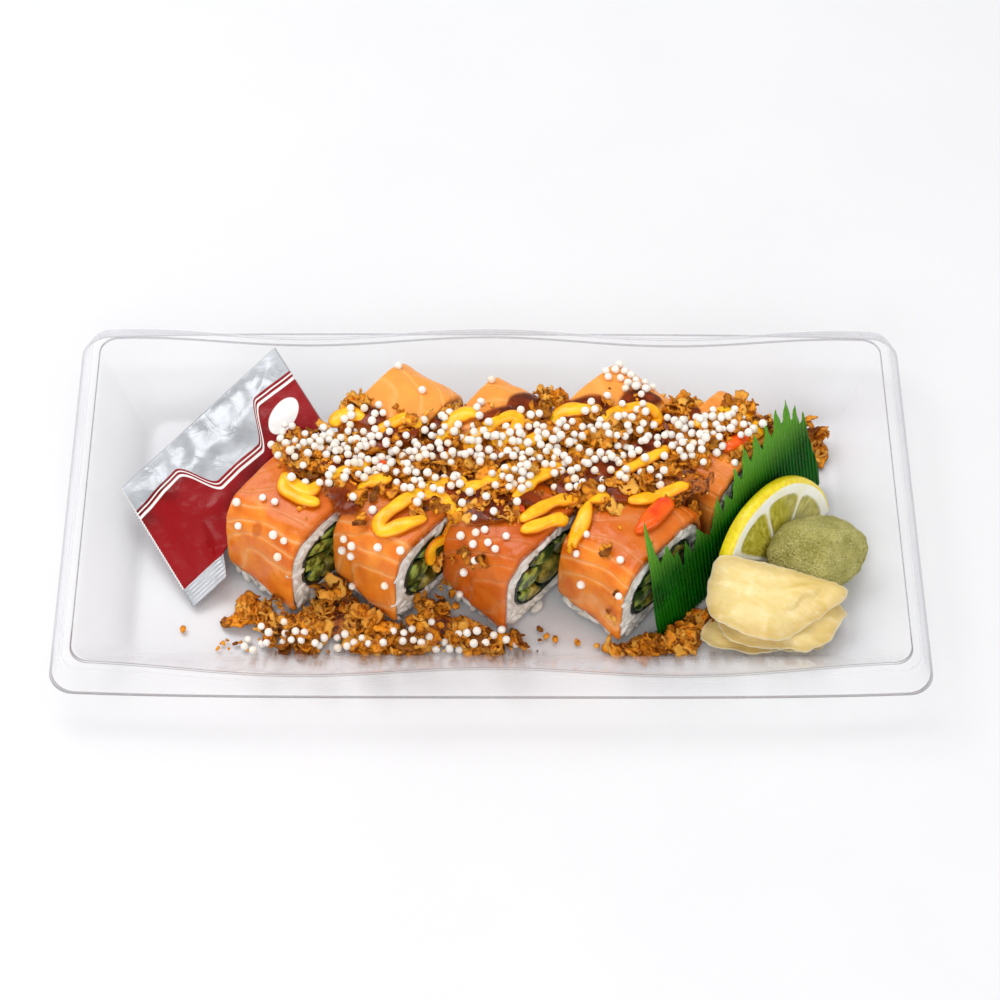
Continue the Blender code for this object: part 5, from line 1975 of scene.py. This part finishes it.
moundValues = {
    "base": 1.05,
    # x, y, reach to the front, reach to the back, height
    "frontRight": ((28.5, -36.8, 0.4, 0.4, 1.8), (31.5, -36.9, 0.5, 0.5, 2.8), (35.0, -36.9, 0.6, 0.8, 3.0),
                   (39.0, -36.8, 0.6, 1.0, 3.2), (43.5, -36.5, 0.7, 1.1, 3.4), (47.0, -35.2, 2.0, 2.0, 3.4),
                   (50.5, -32.6, 3.6, 2.6, 3.4), (54.0, -29.0, 2.4, 2.4, 3.2), (56.4, -26.6, 0.8, 1.6, 1.8)),
    "backRight": ((79.5, 27.5, 1.6, 1.6, 2.2), (82.0, 27.8, 3.4, 3.6, 5.4), (85.0, 27.6, 5.0, 4.8, 7.4),
                  (87.5, 27.4, 3.6, 3.8, 5.6), (89.5, 27.2, 1.4, 1.6, 2.6)),
}


def frontLeftStations():
    stations = []
    for k in range(18):
        x = -66.0 + 4.0 * k
        backY = -20.0
        for piece in slices[:4]:
            rim = [(0.125 * step * piece.length, -sliceValues["halfWidth"]) for step in range(-4, 5)]
            rim += [(0.5 * piece.length + 0.4, -sliceValues["halfWidth"] + 2.0 * step) for step in range(6)]
            for along, across in rim:
                edgeX, edgeY, _ = piece.place(along, across, 0.0)
                if abs(edgeX - x) < 4.4:
                    backY = min(backY, edgeY - 0.9)
        backY = max(backY, -35.6)
        middleY = max(backY - 3.2, -36.0)
        taper = math.sin(math.pi * (k + 0.6) / 18.2) ** 0.4
        stations.append((x, middleY, (middleY + 38.2) * taper, (backY - middleY) * taper, 5.2 * taper))
    return stations


def stationAt(stations, x, *columns):
    # the chosen numbers at x, between the stations on either side of it
    xs = [station[0] for station in stations]
    return [float(np.interp(x, xs, [station[k] for station in stations])) for k in columns]


def moundLevel(stations, x, y):
    # height of a heap over a place on the floor, or zero outside it
    if x < stations[0][0] or x > stations[-1][0]:
        return 0.0
    middle, front, back, height = stationAt(stations, x, 1, 2, 3, 4)
    reach = front if y < middle else back
    share = abs(y - middle) / max(reach, 0.3)
    return height * max(0.0, 1.0 - share ** 2.2)


def heapGap(x):
    # the front heap thins out between its three mounds
    return min(0.9, 0.85 * math.exp(-((x + 53.5) / 2.6) ** 2) + 0.75 * math.exp(-((x + 20.0) / 2.2) ** 2)
               + 0.5 * smoothStep(-50.0, -60.0, x))


def buildMoundCore(name, stations, shrink):
    # the smaller core inside a heap of onions
    base = moundValues["base"]
    columns = int((stations[-1][0] - stations[0][0]) / 0.9)
    around = 14
    rings = []
    for k in range(columns + 1):
        x = stations[0][0] + 1.0 + (stations[-1][0] - stations[0][0] - 2.0) * k / columns
        middle, front, back, height = stationAt(stations, x, 1, 2, 3, 4)
        end = min(1.0, 4.0 * min(k, columns - k) / columns + 0.15)
        gap = heapGap(x) if stations is frontLeft else 0.0
        ring = []
        for i in range(around):
            angle = 2.0 * math.pi * i / around
            reach = front if math.cos(angle) < 0.0 else back
            reach *= 1.0 - 0.5 * gap
            y = middle + shrink * reach * end * math.cos(angle)
            rise = max(0.0, math.sin(angle)) ** 0.7 * height * 0.42 * end * (1.0 - 0.8 * gap)
            lump = 0.5 * crumple(x, y, rise, 2.6, 7.0) if rise > 0.4 else 0.0
            ring.append((x, y, max(base, base + rise + lump)))
        rings.append(ring)
    points, faces = loftRings(rings)
    return makePiece(name, points, faces, soakedCrumb)


def buildFloorHeap(label, stations, count, seed, node):
    chance = random.Random(seed)
    core = buildMoundCore("onionCore" + label, stations, 0.6)
    finishPiece(core, "fried_onion")
    spots = []
    tries = 0
    while len(spots) < count and tries < onionValues["tries"]:
        tries += 1
        x = chance.uniform(stations[0][0] + 0.5, stations[-1][0] - 0.5)
        middle, front, back = stationAt(stations, x, 1, 2, 3)
        side = chance.uniform(-1.0, 1.0)
        y = middle + (front if side < 0.0 else back) * side * 0.95
        if label == "FrontLeft" and chance.random() < heapGap(x):
            continue
        level = moundLevel(stations, x, y) * (0.8 + 1.1 * bumps(x, y, seed, 8.0))
        if chance.random() > 0.5 + 0.1 * level + 1.2 * bumps(x, 0.0, seed, 6.0):
            continue
        size = chance.uniform(0.5, 1.25)
        height = moundValues["base"] + 0.9 * size + chance.uniform(0.25, 0.95) * max(0.0, level - 1.2)
        place = Vector((x, y, height))
        spots.append(flakeSpot(chance, place, straightUp, 0.0, 0.75, size, chance.random()))
    piece = scatter("onionFlakes" + label, spots, flakeVariants, friedOnion, seed)
    finishPiece(piece, "fried_onion", node)
    return core, piece


frontLeft = frontLeftStations()
frontRight = moundValues["frontRight"]
backRight = moundValues["backRight"]
floorHeaps = []
for label, stations, count, seed, node in (
        ("FrontLeft", frontLeft, onionValues["frontLeftCount"], 21, "fried_onions_front_left"),
        ("FrontRight", frontRight, onionValues["frontRightCount"], 22, "fried_onions_front_right"),
        ("BackRight", backRight, onionValues["backRightCount"], 23, "fried_onions_back_right")):
    floorHeaps += buildFloorHeap(label, stations, count, seed, node)
print("floor heaps done")


def makeSauceMaterial(name, edgeColor, low, high, rough, clearEdge, solidFrom, relief, gloss):
    material, nodes, shader = newMaterial(name, Roughness=rough, Subsurface_Weight=0.1,
                                          Subsurface_Radius=(1.0, 0.6, 0.2), Subsurface_Scale=0.0015,
                                          Specular_IOR_Level=0.12, Coat_Weight=gloss, Coat_Roughness=0.05)
    depth = nodes.value("sauceDepth")
    colour, pattern = variation(nodes, low, high, 4.0, 3.0)
    nodes.link(nodes.mix(nodes.ramp(depth, 0.0, 0.85), edgeColor, colour), shader.inputs["Base Color"])
    nodes.link(nodes.ramp(pattern, 0.3, 0.7, rough * 0.7, rough * 1.4), shader.inputs["Roughness"])
    nodes.link(nodes.ramp(depth, 0.0, solidFrom, clearEdge, 1.0), shader.inputs["Alpha"])
    addBump(nodes, shader, nodes.mottle(1.8, 2.0), relief, 0.5)
    return material


spicyMayo = makeSauceMaterial("spicyMayo", (0.95, 0.25, 0.001), (1.0, 0.42, 0.003), (1.0, 0.58, 0.018),
                              0.16, 0.6, 0.5, 0.2, 0.45)
brownSauce = makeSauceMaterial("brownSauce", (0.50, 0.09, 0.002), (0.085, 0.010, 0.0005),
                               (0.26, 0.034, 0.0008), 0.08, 0.0, 0.95, 0.3, 0.2)
chiliSauce = makeSauceMaterial("chiliSauce", (0.90, 0.16, 0.002), (0.80, 0.050, 0.001), (0.95, 0.12, 0.002),
                               0.15, 0.5, 0.6, 0.12, 0.5)


def buildStrokes(name, strokes, width, height, material, ground, lift, seed, slotName):
    points = []
    faces = []
    depths = []
    around = sauceValues["around"]
    for index, stroke in enumerate(strokes):
        hanging = len(stroke[0]) == 3
        path = bezierPath(stroke if hanging else [(x, y, 0.0) for x, y in stroke], sauceValues["step"])
        places = []
        normals = []
        for p in path:
            if hanging:
                places.append(Vector(slices[1].place(*p)))
                normals.append(Vector((*slices[1].along, 0.0)))
                continue
            place, normal = ground.under(p.x, p.y)
            if place.z < restLevel(p.x, p.y) - 0.5 and inBand(p.x, p.y) > -0.3:
                place.z = max(place.z, min(restLevel(p.x, p.y), bandValues["bridge"]))
                normal = straightUp
            if place.z < sauceValues["lowest"]:
                place.z = bandValues["bridge"] - 0.5
                normal = straightUp
            places.append(place + normal * lift)
            normals.append(normal)
        for _ in range(sauceValues["smoothing"]):
            places = [places[0]] + [(places[i - 1] + places[i] * 2.0 + places[i + 1]) * 0.25
                                    for i in range(1, len(places) - 1)] + [places[-1]]
            normals = [normals[0]] + [(normals[i - 1] + normals[i] * 2.0 + normals[i + 1]).normalized()
                                      for i in range(1, len(normals) - 1)] + [normals[-1]]
        count = len(places)
        rings = []
        for i in range(count):
            tangent = (places[min(i + 1, count - 1)] - places[max(i - 1, 0)]).normalized()
            side = tangent.cross(normals[i]).normalized()
            up = side.cross(tangent).normalized()
            fromEnd = min(i, count - 1 - i) * sauceValues["step"]
            cap = math.sqrt(max(0.02, 1.0 - max(0.0, 1.0 - fromEnd / (0.5 * width)) ** 2))
            uneven = 1.0 + 0.40 * bumps(i * 0.5, index * 9.0, 0.0, 4.5, seed)
            swell = uneven * (0.8 + 0.2 * smoothStep(0.0, 4.0, fromEnd))
            half = 0.5 * width * cap * swell
            tall = height * cap * (1.0 + 0.15 * bumps(i * 0.5, index * 9.0, 5.0, 3.0, seed))
            ring = []
            for k in range(around):
                angle = 2.0 * math.pi * k / around
                rise = math.sin(angle)
                rise = 0.7 * tall * rise if rise > 0.0 else 0.3 * tall * rise
                ring.append(tuple(places[i] + side * (half * math.cos(angle)) + up * (rise + 0.2 * tall)))
                depths.append((1.0 - abs(math.cos(angle)) ** 2.5) * min(1.0, 1.2 * cap))
            rings.append(ring)
        depths += [0.0, 0.0]
        ringPoints, ringFaces = loftRings(rings)
        shift = len(points)
        points += ringPoints
        faces += [tuple(shift + v for v in face) for face in ringFaces]
    piece = makePiece(name, points, faces, material, values={"sauceDepth": depths})
    finishPiece(piece, slotName)
    return piece


brownPiece = buildStrokes("sauceBrown", sauceValues["brown"], sauceValues["brownWidth"],
                          sauceValues["brownHeight"], brownSauce, topGround, 0.85, 1.0, "fried_onion")
mayoStrokes = sauceValues["mayo"] + (sauceValues["drip"],)
mayoPiece = buildStrokes("sauceMayo", mayoStrokes, sauceValues["mayoWidth"],
                         sauceValues["mayoHeight"], spicyMayo, topGround, 0.7, 2.0, "salmon")
chiliPiece = buildStrokes("sauceChili", sauceValues["chili"], sauceValues["chiliWidth"],
                          sauceValues["chiliHeight"], chiliSauce, topGround, 0.5, 3.0, "salmon")
print("sauces done")


pearlValues = {
    "radius": 1.02, "topCount": 390, "spacing": 1.9, "floorCount": 46, "sideCount": 38, "peakCount": 16,
    "seed": 5, "tries": 30000, "span": (-57.0, 70.0), "lowest": 28.5,
    "line": ((-56.0, 4.0, 2.0), (-49.0, 5.0, 8.5), (-23.0, 2.0, 10.0), (2.0, 1.0, 9.5), (28.0, 5.0, 9.0),
             (53.0, 8.0, 6.0), (68.0, 11.0, 2.5)),
}


def pearlShape(seed):
    shape = bmesh.new()
    bmesh.ops.create_icosphere(shape, subdivisions=3, radius=pearlValues["radius"])
    points = []
    for vertex in shape.verts:
        p = vertex.co.copy()
        grow = 1.0 + 0.07 * noise.noise(p * 0.9 + Vector((seed * 3.3, 0.0, 0.0)))
        grow += 0.02 * noise.noise(p * 3.0)
        points.append(tuple(p * grow))
    faces = [tuple(v.index for v in face.verts) for face in shape.faces]
    shape.free()
    return points, faces


def makePearlMaterial():
    material, nodes, shader = newMaterial("puffedPearl", Roughness=0.5, Subsurface_Weight=0.3,
                                          Subsurface_Radius=(0.7, 0.65, 0.5), Subsurface_Scale=0.001)
    colour = variation(nodes, (0.86, 0.80, 0.71), (0.94, 0.92, 0.87), 0.9, 2.0)[0]
    tone = nodes.value("tone")
    colour = nodes.mix(nodes.ramp(tone, 0.86, 1.0, 0.0, 0.35), colour, (0.86, 0.58, 0.30))
    nodes.link(colour, shader.inputs["Base Color"])
    addBump(nodes, shader, nodes.mottle(0.35, 2.0), 0.08, 0.5)
    return material


puffedPearl = makePearlMaterial()
pearlVariants = variantCollection("puffedPearlKind", [pearlShape(seed) for seed in range(4)])


def buildPearls():
    chance = random.Random(pearlValues["seed"])
    radius = pearlValues["radius"]
    ground = Ground(salmonPieces + [onionCore, topFlakes, mayoPiece, brownPiece, chiliPiece])
    places = []
    # how many pearls there are once each group is done
    topEnd = pearlValues["topCount"]
    sideEnd = topEnd + pearlValues["sideCount"]
    peakEnd = sideEnd + pearlValues["peakCount"]
    floorEnd = peakEnd + pearlValues["floorCount"]

    def clear(place, gap):
        return all((place - other).length > gap for other in places)

    def add(place):
        turn = Euler((chance.uniform(0.0, 6.0), chance.uniform(0.0, 6.0), chance.uniform(0.0, 6.0)))
        spots.append((place, turn, chance.uniform(0.88, 1.1), chance.random()))
        places.append(place)

    spots = []
    tries = 0
    while len(spots) < topEnd and tries < pearlValues["tries"]:
        tries += 1
        x = chance.uniform(*pearlValues["span"])
        middle, half = stationAt(pearlValues["line"], x, 1, 2)
        y = middle + half * chance.gauss(0.0, 0.62)
        if pastLeaf(x, y, 0.5):
            continue
        if chance.random() > 0.62 + 1.4 * bumps(x, y, 0.0, 9.0, 3.0):
            continue
        place = ground.under(x, y)[0]
        if place.z < pearlValues["lowest"]:
            place.z = bandValues["bridge"] + 0.6
        place = Vector((x, y, place.z + radius * 0.86))
        if not clear(place, pearlValues["spacing"]):
            if chance.random() < 0.12:
                place.z += 1.5
                if not clear(place, pearlValues["spacing"] * 0.97):
                    continue
            else:
                continue
        add(place)
    for _ in range(pearlValues["sideCount"] * 4):
        if len(spots) >= sideEnd:
            break
        piece = slices[chance.randrange(4)] if chance.random() < 0.8 else slices[4 + chance.randrange(4)]
        s = chance.uniform(-0.45, 0.47) * piece.length
        degrees = chance.uniform(105.0, 196.0) if piece.row == "front" else chance.uniform(50.0, 120.0)
        halfHeight = piece.height - piece.middle + 0.5 * radius
        b, z = superEllipse(sliceValues["halfWidth"] + 0.5 * radius, halfHeight, math.radians(degrees),
                            sliceValues["topRoundness"], sliceValues["bottomRoundness"])
        place = Vector(piece.place(s, b, piece.middle + z))
        if piece.middle + z < salmonEdge(s / piece.length + 0.5) + 1.5 or not clear(place, 2.4):
            continue
        add(place)
    peak = slices[6]
    for _ in range(200):
        if len(spots) >= peakEnd:
            break
        s = chance.uniform(-0.45, 0.2) * peak.length
        b = chance.uniform(6.0, 12.5)
        x, y, _ = peak.place(s, b, 0.0)
        place, normal = ground.under(x, y)
        place = place + normal * radius * 0.8
        if clear(place, 2.0):
            add(place)
    heap = Ground(floorHeaps[:2])
    for _ in range(600):
        if len(spots) >= floorEnd:
            break
        x = chance.uniform(-64.0, 8.0)
        y = -37.4 + abs(chance.gauss(0.0, 2.2))
        if x < frontLeft[-1][0]:
            middle, back = stationAt(frontLeft, x, 1, 3)
            if y > middle + back:
                continue
        place = heap.under(x, y, floorTop)[0]
        place = Vector((x, y, place.z + radius * 0.85))
        if clear(place, 2.1):
            add(place)
    piece = scatter("puffedPearls", spots, pearlVariants, puffedPearl, seed=8)
    finishPiece(piece, "rice")


buildPearls()
print("pearls done")


def buildCrumbs():
    # small crumbs on the slices, in the heaps and loose on the tray's floor
    chance = random.Random(onionValues["crumbSeed"])
    ground = Ground(salmonPieces + [onionCore, topFlakes])
    spots = []
    for _ in range(onionValues["crumbs"]):
        x = chance.uniform(*onionValues["crumbSpan"])
        middle, half = bandAt(x)
        y = middle + half * 1.25 * chance.gauss(0.0, 0.6)
        if pastLeaf(x, y, 0.3):
            continue
        place, normal = ground.under(x, y)
        if place.z < onionValues["crumbLowest"]:
            continue
        spots.append(flakeSpot(chance, place, normal, 0.25, 0.6, chance.uniform(0.5, 1.5), chance.random()))
    for x, y in ((-78.9, -30.7), (12.5, -30.5), (16.3, -33.6), (14.0, -32.6), (27.0, -35.5), (22.0, -34.5)):
        spots.append(flakeSpot(chance, Vector((x, y, 1.1)), straightUp, 0.2, 0.5, 1.6, chance.random()))
    for _ in range(60):
        x = chance.uniform(-70.0, 16.0)
        y = chance.uniform(-37.5, -33.0)
        spots.append(flakeSpot(chance, Vector((x, y, 1.1)), straightUp, 0.2, 0.5,
                               chance.uniform(0.4, 1.2), chance.random()))
    piece = scatter("onionCrumbs", spots, crumbVariants, friedOnion, seed=9)
    finishPiece(piece, "fried_onion")


buildCrumbs()


def buildStrays():
    # single flakes stuck to the fronts of the slices, beside the heaps and in the pockets between slices
    chance = random.Random(onionValues["straySeed"])
    spots = []
    for label, share, degrees, size in onionValues["strays"]:
        piece = next(piece for piece in slices if piece.label == label)
        angle = math.radians(degrees)
        b, z = superEllipse(sliceValues["halfWidth"] + 0.5, piece.height - piece.middle + 0.5, angle,
                            sliceValues["topRoundness"], sliceValues["bottomRoundness"])
        outward = Vector((*(c * math.cos(angle) for c in piece.across), math.sin(angle)))
        place = Vector(piece.place(share * piece.length, b, piece.middle + z))
        for _ in range(3):
            shifted = place + Vector((chance.gauss(0.0, 0.8), chance.gauss(0.0, 0.8), chance.gauss(0.0, 0.8)))
            spots.append(flakeSpot(chance, shifted, outward, 0.1, 0.5, size * chance.uniform(0.5, 1.0),
                                   chance.random()))
    for x, y, reach, level, count in onionValues["pockets"]:
        for _ in range(count):
            place = Vector((x + chance.gauss(0.0, reach), y + chance.gauss(0.0, 0.7 * reach),
                            1.4 + level * chance.random()))
            spots.append(flakeSpot(chance, place, straightUp, 0.0, 0.8,
                                   chance.uniform(0.5, 1.1), chance.random()))
    for x, y, level, reach, rise, count in onionValues["tufts"]:
        for _ in range(count):
            aside = Vector((chance.gauss(0.0, reach), chance.gauss(0.0, 0.7 * reach), 0.0))
            crown = math.exp(-(aside.length / (1.6 * reach)) ** 2)
            place = Vector((x, y, level + rise * chance.random() * crown)) + aside
            spots.append(flakeSpot(chance, place, straightUp, 0.0, 1.1,
                                   chance.uniform(0.45, 1.0), chance.random() ** 0.7))
    piece = scatter("onionStrays", spots, flakeVariants, friedOnion, seed=12)
    finishPiece(piece, "fried_onion")


buildStrays()


def grainShape(seed):
    # a plump cooked grain, slightly bent
    chance = random.Random(seed)
    length = riceValues["grainLength"] * chance.uniform(0.85, 1.1)
    width = riceValues["grainWidth"] * chance.uniform(0.9, 1.1)
    rings = []
    for k in range(9):
        t = -1.0 + 2.0 * k / 8.0
        reach = 0.5 * width * max(0.06, 1.0 - abs(t) ** 2.6) ** 0.5
        bend = 0.10 * length * t * t
        ring = []
        for i in range(8):
            angle = 2.0 * math.pi * i / 8.0
            ring.append((0.5 * length * t, reach * math.cos(angle) + bend, 0.86 * reach * math.sin(angle)))
        rings.append(ring)
    return loftRings(rings)


grainVariants = variantCollection("riceGrainKind", [grainShape(seed) for seed in range(5)])


def buildGrains():
    # loose grains on the rice that shows: at both cut faces and under the salmon's lower edge
    chance = random.Random(riceValues["seed"])
    spots = []
    places = []
    for piece in slices:
        half = 0.5 * piece.length - 0.25
        for _ in range(riceValues["tries"]):
            if chance.random() < riceValues["cutFaceShare"]:
                side = 1.0 if chance.random() < 0.6 else -1.0
                angle = chance.uniform(0.0, 2.0 * math.pi)
                share = chance.uniform(0.2, 0.9)
                bo, zo = piece.ricePoint(angle, -0.9)
                bi, zi = piece.noriPoint(angle, 0.9)
                b = bi + (bo - bi) * share
                z = zi + (zo - zi) * share
                place = Vector(piece.place(side * (half + 0.1), b, z))
                normal = Vector((*piece.along, 0.0)) * side
            else:
                s = chance.uniform(-half + 1.5, half - 1.5)
                b = math.copysign(piece.riceHalfWidth + 0.1, -1.0 if chance.random() < 0.6 else 1.0)
                z = chance.uniform(2.2, salmonEdge(s / piece.length + 0.5) + 0.6)
                place = Vector(piece.place(s, b, z))
                normal = Vector((*piece.across, 0.0)) * math.copysign(1.0, b)
            if place.z < 1.9 or any((place - other).length < riceValues["spacing"] for other in places[-90:]):
                continue
            places.append(place)
            upright = normal.to_track_quat("Z", "Y").to_matrix()
            spin = Euler((chance.uniform(-0.35, 0.35), chance.uniform(-0.3, 0.3),
                          chance.uniform(0.0, 2.0 * math.pi)))
            turn = (upright @ spin.to_matrix()).to_euler()
            sunk = place - normal * riceValues["sink"]
            spots.append((sunk, turn, chance.uniform(0.8, 1.05), chance.random()))
    for x, y in ((-62.0, 33.5), (-66.5, 34.5), (-58.0, 35.2), (12.0, -24.0), (40.5, -38.0 + 2.0)):
        spin = Euler((0.0, 0.0, chance.uniform(0.0, 3.1)))
        spots.append((Vector((x, y, 1.7)), spin, 0.95, chance.random()))
    piece = scatter("riceGrains", spots, grainVariants, cookedRice, seed=4)
    finishPiece(piece, "rice")
    print("rice grains:", len(spots))


buildGrains()
print("grains done")
